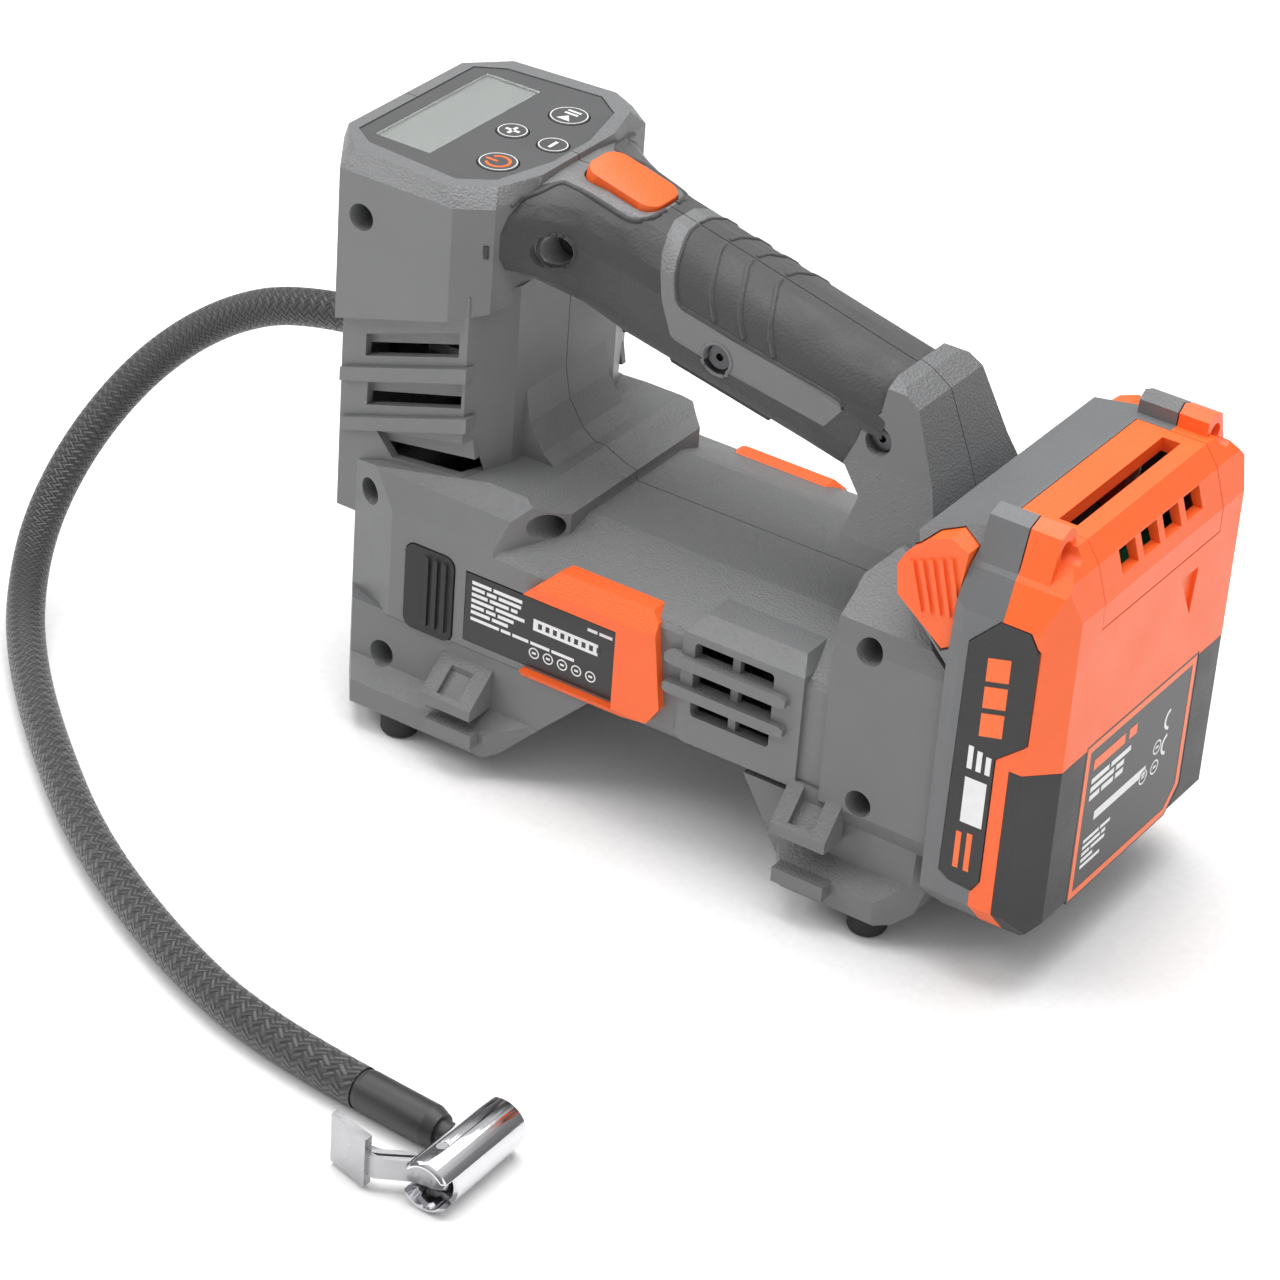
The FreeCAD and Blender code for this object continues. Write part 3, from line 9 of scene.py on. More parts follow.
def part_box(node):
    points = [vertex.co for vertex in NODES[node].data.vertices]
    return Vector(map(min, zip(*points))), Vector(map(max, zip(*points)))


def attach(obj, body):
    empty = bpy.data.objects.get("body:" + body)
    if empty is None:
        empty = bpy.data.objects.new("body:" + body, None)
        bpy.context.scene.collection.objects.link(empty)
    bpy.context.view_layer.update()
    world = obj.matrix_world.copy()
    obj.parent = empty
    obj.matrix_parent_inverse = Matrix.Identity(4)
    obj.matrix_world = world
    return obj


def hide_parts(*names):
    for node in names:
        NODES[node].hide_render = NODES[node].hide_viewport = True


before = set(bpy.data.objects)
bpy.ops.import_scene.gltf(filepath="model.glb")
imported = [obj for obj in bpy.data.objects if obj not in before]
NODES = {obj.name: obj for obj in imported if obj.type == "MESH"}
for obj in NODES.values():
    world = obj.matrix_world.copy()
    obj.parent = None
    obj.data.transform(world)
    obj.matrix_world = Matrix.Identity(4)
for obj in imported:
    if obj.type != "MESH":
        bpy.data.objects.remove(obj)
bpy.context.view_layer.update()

# A cordless tyre inflator on a pale floor.  The prints and ridges are placed on the frame's own nodes.
# +X runs from the control head to the battery, +Z is up, the rating label faces -Y.  Metres.

MM = 0.001

# ---------------------------------------------------------------- camera and light


def make_camera():
    """The camera of the main view: high, from the left of the label side, a little rolled."""
    azimuth = math.radians(31.58)
    elevation = math.radians(31.61)
    roll = math.radians(4.42)
    right = Vector((math.cos(azimuth), math.sin(azimuth), 0))
    up = Vector((-math.sin(azimuth) * math.sin(elevation), math.cos(azimuth) * math.sin(elevation),
                 math.cos(elevation)))
    ahead = up.cross(right)
    turned_right = right * math.cos(roll) + up * math.sin(roll)
    turned_up = up * math.cos(roll) - right * math.sin(roll)
    data = bpy.data.cameras.new("camera")
    data.sensor_width = 36.0
    data.lens = 126.56
    data.clip_start = 0.05
    data.clip_end = 20
    camera = bpy.data.objects.new("camera", data)
    turn = Matrix((turned_right, turned_up, -ahead)).transposed()
    camera.matrix_world = Matrix.Translation((0.50144, -0.86629, 0.65125)) @ turn.to_4x4()
    bpy.context.scene.collection.objects.link(camera)
    bpy.context.scene.camera = camera


def area_light(name, place, target, size, power, tint=(1, 1, 1)):
    """A soft square light that looks at a target."""
    data = bpy.data.lights.new(name, "AREA")
    data.size = size
    data.energy = power
    data.color = tint
    light = bpy.data.objects.new(name, data)
    light.location = place
    light.rotation_mode = "QUATERNION"
    light.rotation_quaternion = (Vector(place) - Vector(target)).to_track_quat("Z", "Y")
    bpy.context.scene.collection.objects.link(light)


def make_lights():
    """A large light overhead, a key from the front left and a low fill."""
    middle = (0, 0, 0.06)
    area_light("overhead", (-0.10, 0.25, 1.5), middle, 1.5, 25)
    area_light("key", (-1.1, -0.75, 1.05), middle, 0.7, 8)
    area_light("fill", (1.3, -0.9, 0.55), middle, 0.9, 3)
    world = bpy.data.worlds.new("world")
    world.use_nodes = True
    tree = world.node_tree
    background = tree.nodes["Background"]
    background.inputs["Strength"].default_value = 0.85
    height = tree.nodes.new("ShaderNodeSeparateXYZ")
    tree.links.new(tree.nodes.new("ShaderNodeTexCoord").outputs["Generated"], height.inputs[0])
    sky = tree.nodes.new("ShaderNodeValToRGB")
    tree.links.new(height.outputs["Z"], sky.inputs["Fac"])
    for stop, value in ((0.0, 0.20), (0.45, 0.35)):
        mark = sky.color_ramp.elements[0] if stop == 0.0 else sky.color_ramp.elements.new(stop)
        mark.position = stop
        mark.color = (value, value, value, 1)
    last = sky.color_ramp.elements[-1]
    last.position = 0.75
    last.color = (1, 1, 1, 1)
    tree.links.new(sky.outputs["Color"], background.inputs["Color"])
    bpy.context.scene.world = world


# ---------------------------------------------------------------- the hose

HOSE_RADIUS = 5.25 * MM
ROUTE = [(-0.121, 0, 0.090), (-0.145, -0.0005, 0.0875), (-0.168, -0.0045, 0.0775),
         (-0.1855, -0.015, 0.0615), (-0.195, -0.031, 0.042), (-0.195, -0.050, 0.024),
         (-0.1855, -0.0685, 0.011), (-0.169, -0.087, 0.00525),
         (-0.140, -0.113, 0.00525), (-0.102, -0.142, 0.00525), (-0.058, -0.165, 0.00525),
         (-0.019, -0.178, 0.00525), (0.013, -0.180, 0.00525)]


def make_hose():
    """The braided hose, one smooth spline through the air and along the ground."""
    curve = bpy.data.curves.new("hose", "CURVE")
    curve.dimensions = "3D"
    spline = curve.splines.new("NURBS")
    spline.points.add(len(ROUTE) - 1)
    for point, place in zip(spline.points, ROUTE):
        point.co = (*place, 1)
    spline.order_u = 3
    spline.use_endpoint_u = True
    spline.resolution_u = 24
    curve.bevel_depth = HOSE_RADIUS
    curve.bevel_resolution = 10
    hose = bpy.data.objects.new("hose", curve)
    bpy.context.scene.collection.objects.link(hose)
    return hose


make_camera()
make_lights()
bpy.context.scene.view_settings.view_transform = "Standard"
hose = make_hose()

# ---------------------------------------------------------------- materials


class Paint:
    """A Principled material and short ways to add procedural detail to it."""

    def __init__(self, name, colour, roughness=0.5, **settings):
        self.material = bpy.data.materials.new(name)
        self.material.use_nodes = True
        self.tree = self.material.node_tree
        self.shader = self.tree.nodes["Principled BSDF"]
        self.colour = (*colour, 1)
        self.shader.inputs["Base Color"].default_value = self.colour
        self.shader.inputs["Roughness"].default_value = roughness
        for socket, value in settings.items():
            self.shader.inputs[socket.replace("_", " ")].default_value = value
        self.place = self.node("ShaderNodeTexCoord").outputs["Object"]
        self.normal = None

    def node(self, kind, **values):
        """A new node, with its properties set."""
        item = self.tree.nodes.new(kind)
        for key, value in values.items():
            setattr(item, key, value)
        return item

    def feed(self, socket, value):
        """Sets a socket to a number or links it to another socket."""
        if isinstance(value, bpy.types.NodeSocket):
            self.tree.links.new(value, socket)
        else:
            socket.default_value = value

    def maths(self, operation, first, second=0.0, third=0.0):
        """One arithmetic step."""
        item = self.node("ShaderNodeMath", operation=operation)
        for socket, value in zip(item.inputs, (first, second, third)):
            self.feed(socket, value)
        return item.outputs["Value"]

    def noise(self, scale, detail=2.0, distortion=0.0):
        """Smooth noise, scale in cells per metre."""
        item = self.node("ShaderNodeTexNoise")
        self.feed(item.inputs["Vector"], self.place)
        item.inputs["Scale"].default_value = scale
        item.inputs["Detail"].default_value = detail
        item.inputs["Distortion"].default_value = distortion
        return item.outputs["Fac"]

    def cells(self, scale):
        """Rounded cells, like a spark-eroded or leather grain."""
        item = self.node("ShaderNodeTexVoronoi", feature="SMOOTH_F1")
        self.feed(item.inputs["Vector"], self.place)
        item.inputs["Scale"].default_value = scale
        return item.outputs["Distance"]

    def spread(self, value, low, high, to_low, to_high):
        """Maps one range of a value to another, clamped."""
        item = self.node("ShaderNodeMapRange")
        for socket, number in zip(item.inputs, (value, low, high, to_low, to_high)):
            self.feed(socket, number)
        return item.outputs["Result"]

    def axis(self, vector, letter):
        """One part of a vector."""
        item = self.node("ShaderNodeSeparateXYZ")
        self.feed(item.inputs[0], vector)
        return item.outputs[letter]

    def upward(self):
        """How far the surface faces up, in the object's own frame."""
        return self.axis(self.node("ShaderNodeTexCoord").outputs["Normal"], "Z")

    def shade(self, factor, low, high):
        """Varies the base colour between two shades of it."""
        item = self.node("ShaderNodeMix", data_type="RGBA")
        self.feed(item.inputs["Factor"], factor)
        item.inputs["A"].default_value = tuple(low) + (1,)
        item.inputs["B"].default_value = tuple(high) + (1,)
        self.feed(self.shader.inputs["Base Color"], item.outputs["Result"])

    def shades(self, factor, change):
        """Varies the base colour a little to both sides."""
        low = [part * (1 - change) for part in self.colour[:3]]
        high = [min(1, part * (1 + change)) for part in self.colour[:3]]
        self.shade(factor, low, high)

    def bump(self, height, depth, strength=1.0):
        """Adds relief: depth in metres, strength a number or a socket."""
        item = self.node("ShaderNodeBump")
        item.inputs["Distance"].default_value = depth
        self.feed(item.inputs["Strength"], strength)
        self.feed(item.inputs["Height"], height)
        if self.normal is not None:
            self.feed(item.inputs["Normal"], self.normal)
        self.normal = item.outputs["Normal"]
        self.feed(self.shader.inputs["Normal"], self.normal)

    def rough(self, factor, low, high):
        """Varies the roughness."""
        self.feed(self.shader.inputs["Roughness"], self.spread(factor, 0.3, 0.7, low, high))


def moulded(name, colour, roughness, coarse, fine=0.25):
    """Moulded plastic: spark-eroded grain where it faces up, satin on its flanks."""
    paint = Paint(name, colour, roughness)
    grain = paint.noise(1500, 1.5)
    faces_up = paint.spread(paint.upward(), 0.15, 0.45, fine, coarse)
    paint.bump(grain, 0.35 * MM, faces_up)
    paint.bump(paint.noise(4200, 1.0), 0.10 * MM, 0.35)
    paint.shades(paint.noise(34, 3.0), 0.06)
    paint.rough(paint.noise(60, 4.0), roughness - 0.05, roughness + 0.06)
    return paint.material


def soft_rubber(name, colour, depth=0.16):
    """Soft skin with a close leather-like grain and a dusty sheen."""
    paint = Paint(name, colour, 0.62, Sheen_Weight=0.25, Sheen_Roughness=0.5)
    grain = paint.cells(1250)
    paint.bump(grain, depth * MM, 0.8)
    paint.bump(paint.noise(3600, 2.0), 0.08 * MM, 0.5)
    paint.shades(paint.noise(45, 4.0), 0.18)
    paint.rough(paint.noise(80, 3.0), 0.52, 0.68)
    return paint.material


def clean_rubber(name, colour, roughness=0.7):
    """Plain moulded rubber."""
    paint = Paint(name, colour, roughness)
    paint.bump(paint.noise(2600, 2.0), 0.08 * MM, 0.5)
    paint.shades(paint.noise(120, 3.0), 0.15)
    return paint.material


def metal(name, colour, roughness, grain=900, depth=0.03, spread=0.08):
    """Cast or machined metal with fine tooling marks and small dents."""
    paint = Paint(name, colour, roughness, Metallic=1.0)
    paint.bump(paint.noise(grain, 3.0), depth * MM, 0.6)
    paint.rough(paint.noise(140, 4.0), max(0.03, roughness - spread), roughness + spread)
    paint.shades(paint.noise(90, 3.0), 0.08)
    return paint.material


def chrome(name):
    """Bright plating with faint ripples and wiping marks."""
    paint = Paint(name, (0.66, 0.66, 0.68), 0.09, Metallic=1.0)
    paint.bump(paint.noise(160, 2.0), 0.10 * MM, 0.25)
    paint.rough(paint.noise(320, 5.0), 0.05, 0.16)
    return paint.material


def clear_plastic(name):
    """The display's clear window."""
    paint = Paint(name, (0.92, 0.94, 0.93), 0.06, Transmission_Weight=0.92, IOR=1.49)
    paint.bump(paint.noise(60, 2.0), 0.02 * MM, 0.2)
    return paint.material


def display(name):
    """A reflective liquid crystal display at rest, with its fine pixel lines."""
    paint = Paint(name, (0.46, 0.47, 0.46), 0.28)
    along = paint.axis(paint.place, "Y")
    across = paint.axis(paint.place, "X")
    lines = paint.maths("SINE", paint.maths("MULTIPLY", along, 2 * math.pi / (0.5 * MM)))
    rows = paint.maths("SINE", paint.maths("MULTIPLY", across, 2 * math.pi / (0.5 * MM)))
    mesh = paint.spread(paint.maths("MAXIMUM", lines, rows), 0.6, 1.0, 0.0, 1.0)
    paint.shade(mesh, (0.46, 0.47, 0.46), (0.41, 0.42, 0.41))
    return paint.material


def printed(name, colour, roughness=0.35):
    """Ink or film, slightly uneven."""
    paint = Paint(name, colour, roughness)
    paint.bump(paint.noise(2400, 2.0), 0.015 * MM, 0.5)
    paint.shades(paint.noise(400, 3.0), 0.06)
    return paint.material


def board(name):
    """A circuit board with faint tracks."""
    paint = Paint(name, (0.02, 0.16, 0.07), 0.35)
    tracks = paint.cells(420)
    paint.shade(paint.spread(tracks, 0.25, 0.3, 0, 1), (0.03, 0.22, 0.10), (0.015, 0.13, 0.05))
    paint.bump(tracks, 0.05 * MM, 0.4)
    return paint.material


BRAID_LENGTH = 0.386
BRAID_CARRIERS = 18        # yarns in each direction round the hose
BRAID_PITCH = 27 * MM      # length of one turn of a yarn


def braid(name):
    """A woven sleeve: two families of yarns cross each other, two over and two under."""
    paint = Paint(name, (0.022, 0.022, 0.024), 0.42, Sheen_Weight=0.15)
    place = paint.node("ShaderNodeTexCoord").outputs["UV"]
    along = paint.maths("MULTIPLY", paint.axis(place, "X"), BRAID_CARRIERS * BRAID_LENGTH / BRAID_PITCH)
    around = paint.maths("MULTIPLY", paint.axis(place, "Y"), BRAID_CARRIERS)
    first = paint.maths("ADD", along, around)
    second = paint.maths("SUBTRACT", along, around)
    steps = [paint.maths("FLOOR", item) for item in (first, second)]
    turn = paint.maths("FLOORED_MODULO", paint.maths("ADD", *steps), 4.0)
    over = paint.maths("LESS_THAN", turn, 2.0)
    ridges = []
    for item in (first, second):
        middle = paint.maths("SUBTRACT", paint.maths("FRACT", item), 0.5)
        slope = paint.maths("MULTIPLY", paint.maths("ABSOLUTE", middle), 2.0)
        ridges.append(paint.maths("SUBTRACT", 1.0, slope))
    top = paint.maths("MULTIPLY", ridges[0], over)
    under = paint.maths("MULTIPLY", ridges[1], paint.maths("SUBTRACT", 1.0, over))
    height = paint.maths("POWER", paint.maths("ADD", top, under), 0.6)
    paint.bump(height, 0.30 * MM, 1.0)
    paint.bump(paint.noise(5200, 1.0), 0.06 * MM, 0.5)
    # Painted shade and highlight: the base colour darkens in the hollows between the yarns and lightens
    # on their crowns.
    paint.shade(height, (0.006, 0.006, 0.007), (0.050, 0.050, 0.053))
    paint.rough(height, 0.55, 0.34)
    return paint.material


GREY = moulded("grey_plastic", (0.170, 0.172, 0.175), 0.44, 1.0)
FOOT_GREY = moulded("foot_grey", (0.155, 0.157, 0.160), 0.44, 1.0)
PACK_GREY = moulded("pack_grey", (0.145, 0.148, 0.152), 0.42, 0.45)
PANEL_GREY = moulded("panel_grey", (0.085, 0.086, 0.088), 0.38, 0.25)
KEY_GREY = moulded("key_grey", (0.070, 0.071, 0.073), 0.40, 0.2)
ORANGE = moulded("orange_plastic", (0.95, 0.135, 0.022), 0.40, 0.45, 0.15)
BLACK = moulded("black_plastic", (0.020, 0.020, 0.021), 0.42, 0.5)
SKIN = soft_rubber("handle_rubber", (0.040, 0.040, 0.042))
INSERT = clean_rubber("insert_rubber", (0.020, 0.020, 0.021), 0.55)
FOOT_RUBBER = clean_rubber("foot_rubber", (0.018, 0.018, 0.018))
LABEL = printed("label_film", (0.022, 0.022, 0.023), 0.32)
INK_WHITE = printed("white_ink", (0.80, 0.80, 0.80))
INK_ORANGE = printed("orange_ink", (0.95, 0.16, 0.03))
INK_GREY = printed("grey_ink", (0.42, 0.42, 0.42))
STEEL = metal("steel", (0.55, 0.55, 0.56), 0.28)
DARK_STEEL = metal("dark_steel", (0.10, 0.10, 0.105), 0.38)
ALUMINIUM = metal("cast_aluminium", (0.66, 0.66, 0.67), 0.36, 700, 0.06)
ZINC = metal("cast_zinc", (0.44, 0.44, 0.45), 0.34, 520, 0.10, 0.12)
BRASS = metal("brass", (0.72, 0.52, 0.22), 0.25)
CHROME = chrome("chrome_plate")
WINDOW = clear_plastic("clear_window")
DISPLAY = display("display_glass")
BOARD = board("circuit_board")
CELL_SLEEVE = printed("cell_sleeve", (0.04, 0.20, 0.42), 0.3)
BRAID = braid("braided_sleeve")
FERRULE = clean_rubber("ferrule_sleeve", (0.030, 0.030, 0.032), 0.45)
FLOOR = printed("pale_floor", (0.93, 0.93, 0.93), 0.7)

FINISHES = {
    GREY: ["housing_left", "housing_right"],
    FOOT_GREY: ["battery_foot_left", "battery_foot_right"],
    PACK_GREY: ["battery_front_shell"],
    PANEL_GREY: ["control_panel"],
    KEY_GREY: ["button_start", "button_power", "button_plus", "button_minus"],
    ORANGE: ["switch_button", "side_cover_left", "side_cover_right", "battery_rear_cover",
             "battery_top_plate", "release_button_left", "release_button_right"],
    BLACK: ["switch_module", "cooling_fan", "hose_gland", "battery_lower_shell", "battery_side_strips",
            "cell_holder", "terminal_block"],
    SKIN: ["grip_left", "grip_right", "grip_strip"],
    INSERT: ["side_insert_left", "side_insert_right", "air_pipe", "chuck_seal"],
    FOOT_RUBBER: ["rubber_feet"],
    LABEL: ["rating_plate_left", "rating_plate_right", "battery_label"],
    STEEL: ["crank_gear", "crank_bearing", "motor_pinion", "motor_shaft", "motor_can", "motor_rotor",
            "pressure_sensor", "release_springs", "chuck_pin"],
    DARK_STEEL: ["housing_screws"],
    ALUMINIUM: ["pump_frame", "cylinder", "cylinder_head", "connecting_rod"],
    ZINC: ["chuck_lever"],
    BRASS: ["battery_contacts"],
    CHROME: ["chuck_body"],
    WINDOW: ["display_window"],
    DISPLAY: ["display_module"],
    BOARD: ["control_board", "drive_board", "battery_board"],
    CELL_SLEEVE: ["battery_cells"],
    BRAID: ["air_hose"],
    FERRULE: ["hose_ferrule"],
}

# Nodes whose moulded edges show, and how far each edge is rounded, in millimetres.
ROUNDED = {
    "housing_left": 0.5, "housing_right": 0.5, "battery_foot_left": 0.5, "battery_foot_right": 0.5,
    "battery_front_shell": 0.5, "battery_rear_cover": 0.5, "battery_lower_shell": 0.5,
    "battery_top_plate": 0.35, "battery_side_strips": 0.15,
    "release_button_left": 0.4, "release_button_right": 0.4, "switch_button": 0.9,
    "side_cover_left": 0.5, "side_cover_right": 0.5, "side_insert_left": 0.25, "side_insert_right": 0.25,
    "grip_left": 0.25, "grip_right": 0.25, "control_panel": 0.12, "rubber_feet": 0.3, "chuck_body": 0.25,
    "chuck_lever": 0.35, "grip_strip": 0.2, "button_start": 0.2, "button_power": 0.2, "button_plus": 0.2,
    "button_minus": 0.2, "hose_gland": 0.3, "chuck_pin": 0.15,
}


def paint_node(name, material):
    """Gives a CAD node its material."""
    data = NODES[name].data
    data.materials.clear()
    data.materials.append(material)


def round_edges(name, width):
    """Rounds a moulded node's edges with modifiers, which leave its mesh alone."""
    node = NODES[name]
    merge = node.modifiers.new("merge", "WELD")
    merge.merge_threshold = 0.002 * MM
    flat = node.modifiers.new("flat", "DECIMATE")
    flat.decimate_type = "DISSOLVE"
    flat.angle_limit = math.radians(0.6)
    bevel = node.modifiers.new("round", "BEVEL")
    bevel.width = width * MM
    bevel.segments = 2
    bevel.limit_method = "ANGLE"
    bevel.angle_limit = math.radians(28)
    bevel.use_clamp_overlap = True
    bevel.harden_normals = True


for material, names in FINISHES.items():
    for name in names:
        paint_node(name, material)
for name, width in ROUNDED.items():
    round_edges(name, width)

# ---------------------------------------------------------------- pieces


def add_mesh(name, points, faces, body, material, smooth=False):
    """A new mesh piece that rides on a body."""
    mesh = bpy.data.meshes.new(name)
    mesh.from_pydata([tuple(point) for point in points], [], faces)
    mesh.validate()
    mesh.materials.append(material)
    for face in mesh.polygons:
        face.use_smooth = smooth
    piece = bpy.data.objects.new(name, mesh)
    bpy.context.scene.collection.objects.link(piece)
    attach(piece, body)
    return piece


def bar(left, right, low, high):
    """A flat rectangle, in millimetres."""
    return [[(left, low), (right, low), (right, high), (left, high)]]


def ring(across, upward, radius, width, start=0.0, stop=360.0, steps=40):
    """A flat ring, or a stretch of one, as short quads."""
    quads = []
    for step in range(steps):
        corners = []
        inside = radius - width
        for turn, reach in ((step, inside), (step, radius), (step + 1, radius), (step + 1, inside)):
            angle = math.radians(start + (stop - start) * turn / steps)
            corners.append((across + reach * math.sin(angle), upward + reach * math.cos(angle)))
        quads.append(corners)
    return quads


def prints(name, body, material, outlines, origin, right, up, thickness=0.06):
    """Ink: thin closed plates on a surface.  right and up span it, outlines are in millimetres."""
    right = Vector(right)
    up = Vector(up)
    outward = right.cross(up)
    points = []
    faces = []
    for outline in outlines:
        first = len(points)
        count = len(outline)
        for rise in (0.0, thickness):
            points += [Vector(origin) + (right * u + up * v + outward * rise) * MM for u, v in outline]
        area = sum(a[0] * b[1] - b[0] * a[1] for a, b in zip(outline, outline[1:] + outline[:1]))
        order = list(range(count)) if area > 0 else list(reversed(range(count)))
        faces.append([first + index for index in reversed(order)])
        faces.append([first + count + index for index in order])
        for here, there in zip(order, order[1:] + order[:1]):
            faces.append([first + here, first + there, first + count + there, first + count + here])
    return add_mesh(name, points, faces, body, material)


def key_marks():
    """White rings and signs on the keys; the power sign is orange.  Read from the handle's side."""
    right = (0, 1, 0)
    up = (-1, 0, 0)
    play_mark = [(-3.0, -2.0), (-0.2, 0), (-3.0, 2.0)]
    sign = {
        "button_plus": bar(-2.1, 2.1, -0.45, 0.45) + bar(-0.45, 0.45, -2.1, 2.1),
        "button_minus": bar(-1.9, 1.9, -0.45, 0.45),
        "button_start": [play_mark] + bar(0.6, 1.4, -2, 2) + bar(2.2, 3.0, -2, 2),
    }
    for key in ("button_plus", "button_minus", "button_start", "button_power"):
        low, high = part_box(key)
        middle = (low + high) / 2
        spot = (middle.x, middle.y, high.z)
        radius = (high.x - low.x) / 2 / MM
        body = key.replace("button_", "") + "_key"
        rim = ring(0, 0, radius - 0.35, 0.26)
        prints(key + "_rim", body, INK_WHITE, rim, spot, right, up)
        if key in sign:
            prints(key + "_sign", body, INK_WHITE, sign[key], spot, right, up)
    low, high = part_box("button_power")
    spot = ((low.x + high.x) / 2, (low.y + high.y) / 2, high.z)
    power = ring(0, 0, 3.4, 0.75, 35, 325, 32) + bar(-0.38, 0.38, 0.2, 3.7)
    prints("button_power_sign", "power_key", INK_ORANGE, power, spot, right, up)


def text_rows(left, top, rows, height, gap):
    """Rows of dashes that stand for small print.  rows holds each row's word lengths."""
    outlines = []
    for index, words in enumerate(rows):
        low = top - index * (height + gap) - height
        start = left
        for word in words:
            outlines += bar(start, start + word, low, low + height)
            start += word + height * 0.7
    return outlines


def rating_print():
    """Generic print on the rating plate of the hose side: rows, a number field and round signs."""
    low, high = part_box("rating_plate_left")
    spot = (low.x, low.y, low.z)
    wide = (high.x - low.x) / MM
    rows = text_rows(2.0, 18.4, [(6, 9), (4, 3, 7), (5, 6, 2), (7, 9), (4, 3, 5), (6, 5)], 1.0, 0.75)
    low_rows = text_rows(2.0, 7.6, [(9, 3, 5, 6, 7)], 0.9, 0.7)
    field = bar(21.5, 41.5, 11.2, 14.6)
    signs = []
    for index in range(5):
        signs += ring(22.2 + 4.4 * index, 4.4, 1.6, 0.35, steps=20)
        signs += bar(21.6 + 4.4 * index, 22.8 + 4.4 * index, 4.1, 4.7)
    corner = text_rows(wide - 9, 18.4, [(3, 4)], 0.9, 0.7)
    right = (1, 0, 0)
    up = (0, 0, 1)
    outlines = rows + low_rows + field + signs + corner
    prints("rating_print", "tool", INK_WHITE, outlines, spot, right, up)
    raised = (spot[0], spot[1] - 0.06 * MM, spot[2])
    number = text_rows(23.0, 13.7, [(1.2, 1.2, 1.2, 1.2, 0.8, 1.2, 1.2, 1.2, 1.2)], 1.6, 0.7)
    prints("rating_number", "tool", LABEL, number, raised, right, up, 0.03)


def battery_print():
    """Generic print on the battery: an orange frame, rows and signs on its back, marks on its flanks."""
    low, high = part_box("battery_label")
    spot = (high.x, (low.y + high.y) / 2, low.z)
    half = (high.y - low.y) / 2 / MM
    tall = (high.z - low.z) / MM
    right = (0, 1, 0)
    up = (0, 0, 1)
    outer = [(-half + 0.6, 0.6), (half - 6.9, 0.6), (half - 0.6, 6.9), (half - 0.6, tall - 0.6),
             (-half + 0.6, tall - 0.6)]
    width = 1.9
    inner = [(-half + 0.6 + width, 0.6 + width), (half - 7.7, 0.6 + width), (half - 0.6 - width, 7.7),
             (half - 0.6 - width, tall - 0.6 - width), (-half + 0.6 + width, tall - 0.6 - width)]
    edge = []
    for index in range(5):
        after = (index + 1) % 5
        edge.append([outer[index], outer[after], inner[after], inner[index]])
    prints("battery_label_frame", "battery", INK_ORANGE, edge, spot, right, up)
    title = text_rows(-half + 5, tall - 6, [(16, 4)], 3.0, 1.0)
    prints("battery_label_title", "battery", INK_ORANGE, title, spot, right, up)
    rows = text_rows(-half + 5, tall - 11.5, [(9, 10), (12, 4), (5, 6, 4)], 1.5, 1.0)
    field = bar(-half + 9, half - 22, 20.6, 23.2)
    small = text_rows(-half + 5, 16.5, [(8, 5), (9, 2), (4, 7), (6,), (10,)], 1.0, 0.9)
    signs = []
    for across, upward in ((6, 20), (12, 20), (12, 26)):
        signs += ring(across, upward, 2.1, 0.45, steps=20)
        signs += bar(across - 0.8, across + 0.8, upward - 0.3, upward + 0.3)
    signs += ring(17.5, 32.0, 3.2, 0.9, 190, 350, 16) + ring(17.5, 24.5, 3.2, 0.9, 190, 350, 16)
    prints("battery_label_rows", "battery", INK_WHITE, rows + field + small + signs, spot, right, up)
    strip_low, strip_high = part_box("battery_side_strips")
    for side in (-1, 1):
        depth = strip_low.y if side < 0 else strip_high.y
        spot = (strip_low.x, depth, strip_low.z)
        tag = "near" if side < 0 else "far"
        along = (0, 0, 1)
        flank = (-1, 0, 0) if side < 0 else (1, 0, 0)
        offset = -1 if side < 0 else 1
        mark = []
        lean = 1.6
        for start, stop in ((44.0, 50.5), (52.0, 58.0), (59.5, 66.0)):
            mark.append([(start, offset * 6.4), (stop, offset * 6.4),
                         (stop + lean, offset * 12.6), (start + lean, offset * 12.6)])
        prints("battery_mark_" + tag, "battery", INK_ORANGE, mark, spot, along, flank)
        cell = bar(18.5, 31.5, offset * 4.2, offset * 10.2)
        prints("battery_badge_" + tag, "battery", INK_WHITE, cell, spot, along, flank)
        lines = []
        for index, (start, stop) in enumerate(((5.0, 15.5), (5.0, 16.0))):
            edge_low = offset * (3.6 + 3.0 * index)
            lines += bar(start, stop, edge_low, edge_low + offset * 1.5)
        prints("battery_lines_" + tag, "battery", INK_ORANGE, lines, spot, along, flank)
        words = []
        for index in range(3):
            edge_low = offset * (4.2 + 2.5 * index)
            words += bar(34.0, 40.5 - index * 0.7, edge_low, edge_low + offset * 1.4)
        prints("battery_words_" + tag, "battery", INK_WHITE, words, spot, along, flank)


key_marks()
rating_print()
battery_print()

# ---------------------------------------------------------------- relief of the handle


def surface_of(names):
    """The joined surface of some CAD nodes, for finding the nearest point on it."""
    points = []
    faces = []
    for name in names:
        node = NODES[name]
        first = len(points)
        points += [node.matrix_world @ corner.co for corner in node.data.vertices]
        faces += [[first + index for index in face.vertices] for face in node.data.polygons]
    return BVHTree.FromPolygons(points, faces)


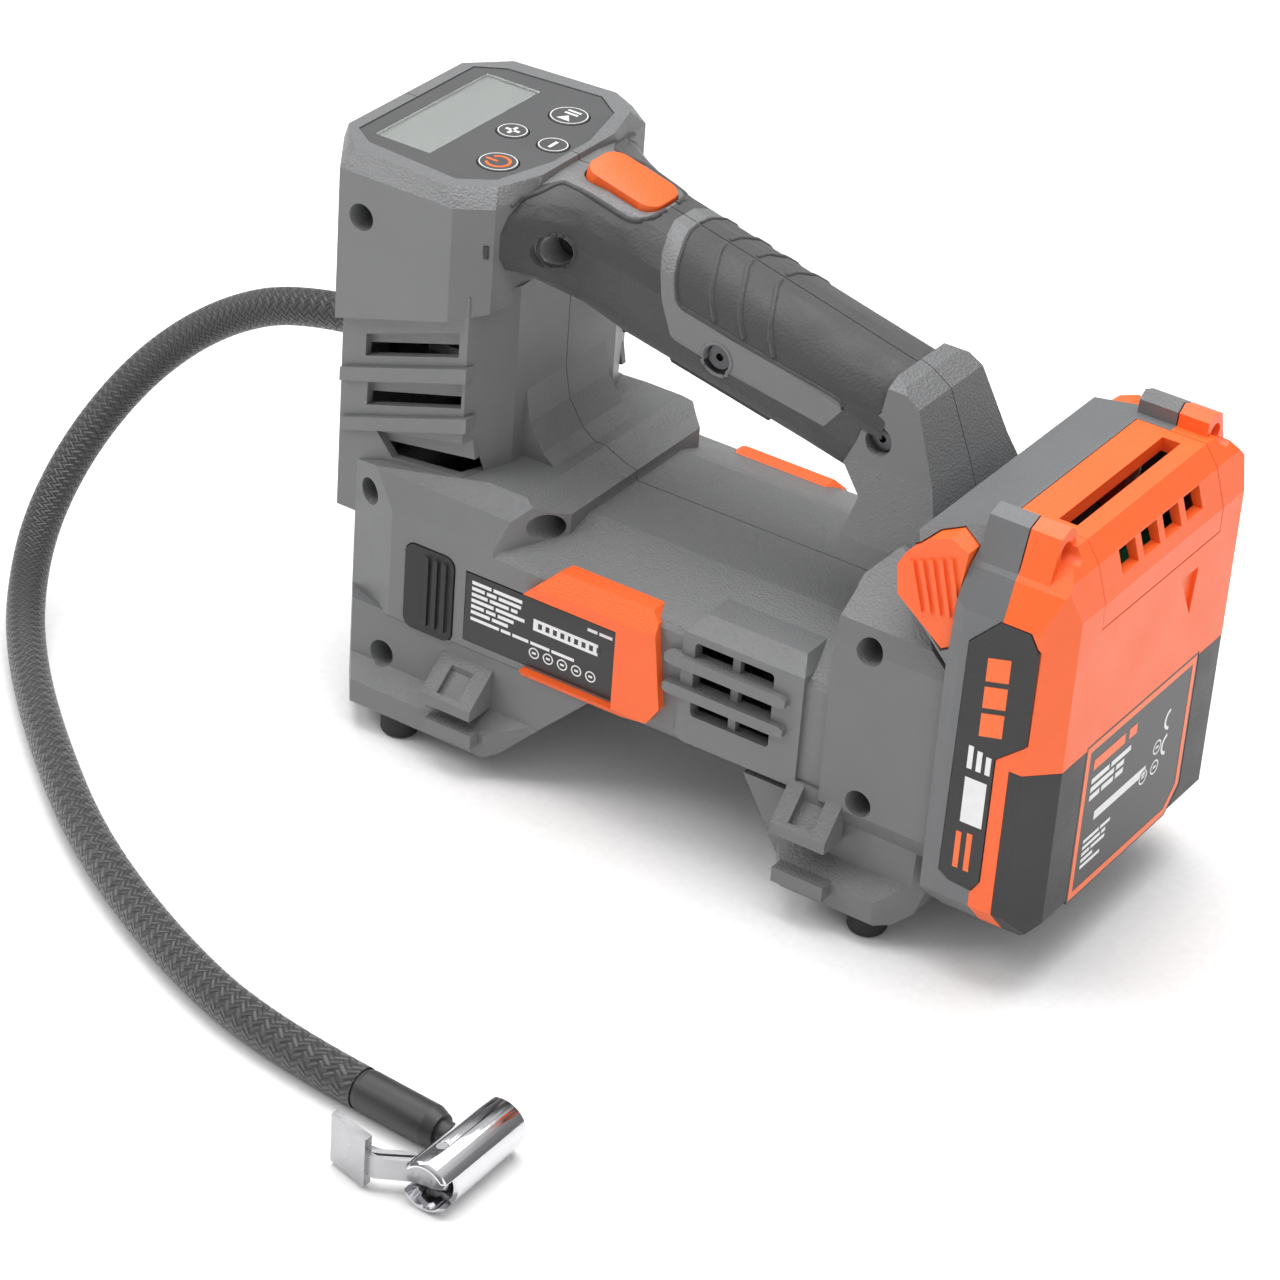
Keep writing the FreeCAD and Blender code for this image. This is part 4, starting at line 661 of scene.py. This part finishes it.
def eased(path, steps, closed):
    """A smooth Catmull-Rom line through the points of a path."""
    count = len(path)
    line = []
    for index in range(count if closed else count - 1):
        corners = []
        for shift in (-1, 0, 1, 2):
            pick = (index + shift) % count if closed else max(0, min(count - 1, index + shift))
            corners.append(Vector(path[pick]))
        before, here, there, after = corners
        squared = 2 * before - 5 * here + 4 * there - after
        cubed = 3 * here - before - 3 * there + after
        for step in range(steps):
            t = step / steps
            line.append(0.5 * (2 * here + (there - before) * t + squared * t * t + cubed * t * t * t))
    if not closed:
        line.append(Vector(path[-1]))
    return line


RELIEF = {"grip_rubber": SKIN, "grey_plastic": GREY}


def ridge(name, path, surface, width, height, slot, closed=False, steps=5):
    """A low rounded ridge along a path, in millimetres, pressed onto a surface."""
    spots = [surface.find_nearest(point * MM)[:2] for point in eased(path, steps, closed)]
    profile = [(-0.5, -0.3), (-0.5, 0.15), (-0.28, 0.8), (0.0, 1.0), (0.28, 0.8), (0.5, 0.15),
               (0.5, -0.3)]
    count = len(spots)
    points = []
    for index, (spot, outward) in enumerate(spots):
        behind = spots[(index - 1) % count if closed else max(0, index - 1)][0]
        ahead = spots[(index + 1) % count if closed else min(count - 1, index + 1)][0]
        across = (ahead - behind).cross(outward).normalized()
        points += [spot + across * (u * width * MM) + outward * (v * height * MM) for u, v in profile]
    size = len(profile)
    faces = []
    for index in range(count if closed else count - 1):
        here = index * size
        there = ((index + 1) % count) * size
        for corner in range(size):
            after = (corner + 1) % size
            faces.append([here + corner, here + after, there + after, there + corner])
    if not closed:
        faces.append(list(reversed(range(size))))
        faces.append(list(range((count - 1) * size, count * size)))
    return add_mesh(name, points, faces, "tool", RELIEF[slot], True)


def circle(middle, radius, steps=16):
    """Points of a ring round a hole in the flank."""
    x, y, z = middle
    turns = [2 * math.pi * step / steps for step in range(steps)]
    return [(x + radius * math.cos(turn), y, z + radius * math.sin(turn)) for turn in turns]


def on_side(path, side):
    """A path of the near flank, or its mirror image on the far one."""
    return [(x, side * y, z) for x, y, z in path]


HANDLE = surface_of(["grip_left", "grip_right", "housing_left", "housing_right"])
FINGER_RIDGES = [[(-14.5, -1, 149), (-13.4, -5, 148.6), (-12, -8.5, 147.7), (-9.5, -14, 143.3),
                  (-7.8, -16.5, 139.5), (-6.3, -16.8, 136)],
                 [(-6.3, -1, 147), (-5.2, -5, 146.6), (-3.7, -8, 145.8), (-1.1, -13.8, 141.6),
                  (0.8, -16.5, 137.6), (2.4, -16.8, 134.2)],
                 [(2.6, -1, 145), (3.7, -5, 144.6), (5.2, -8, 143.8), (8.1, -14.2, 139.3),
                  (9.8, -16.5, 135.8), (11.3, -16.8, 132.2)]]
BAND_LIP = [(-23, -0.5, 151.6), (-22.6, -5, 151), (-21.2, -10, 149.6), (-19.6, -15, 144.5),
            (-18, -16.8, 139.5), (-16.4, -17, 137), (-13, -17, 136.2), (0, -17, 133.4), (15, -17, 130.4),
            (29, -17, 127.8), (31.6, -17, 126.6), (32.2, -17, 125.2)]
COLLAR_LIP = [(-64, -33.8, 141), (-64.3, -33.5, 145.5), (-64.6, -31.5, 151.5), (-63, -27.5, 153.8),
              (-59.4, -19.5, 155.2), (-57, -13, 156), (-54.5, -12, 156), (-44, -12, 154.2),
              (-36.8, -11.6, 152.4), (-33.6, -9.4, 152.2), (-32, -6, 152.8), (-31.6, -2.5, 153.3)]
for side, stem in ((1, "near"), (-1, "far")):
    for index, path in enumerate(FINGER_RIDGES):
        name = "finger_ridge_%s_%d" % (stem, index)
        ridge(name, on_side(path, side), HANDLE, 1.5, 0.42, "grip_rubber")
    ridge("band_lip_" + stem, on_side(BAND_LIP, side), HANDLE, 1.0, 0.40, "grip_rubber")
    ridge("collar_lip_" + stem, on_side(COLLAR_LIP, side), HANDLE, 1.6, 0.55, "grip_rubber")
ridge("front_hole_lip", circle((-51.2, -23.2, 142.3), 4.4), HANDLE, 1.0, 0.45, "grip_rubber", True, 3)
ridge("middle_hole_lip", circle((-4.8, -16.5, 126.0), 4.3), HANDLE, 1.0, 0.40, "grey_plastic", True, 3)

# ---------------------------------------------------------------- finish the hose

hose.data.materials.append(BRAID)
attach(hose, "tool")
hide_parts("air_hose")

# ---------------------------------------------------------------- floor

floor = bpy.data.meshes.new("floor")
floor.from_pydata([(-6, -6, 0), (6, -6, 0), (6, 6, 0), (-6, 6, 0)], [], [(0, 1, 2, 3)])
floor.materials.append(FLOOR)
ground = bpy.data.objects.new("floor", floor)
ground.location.z = -0.0002
bpy.context.scene.collection.objects.link(ground)
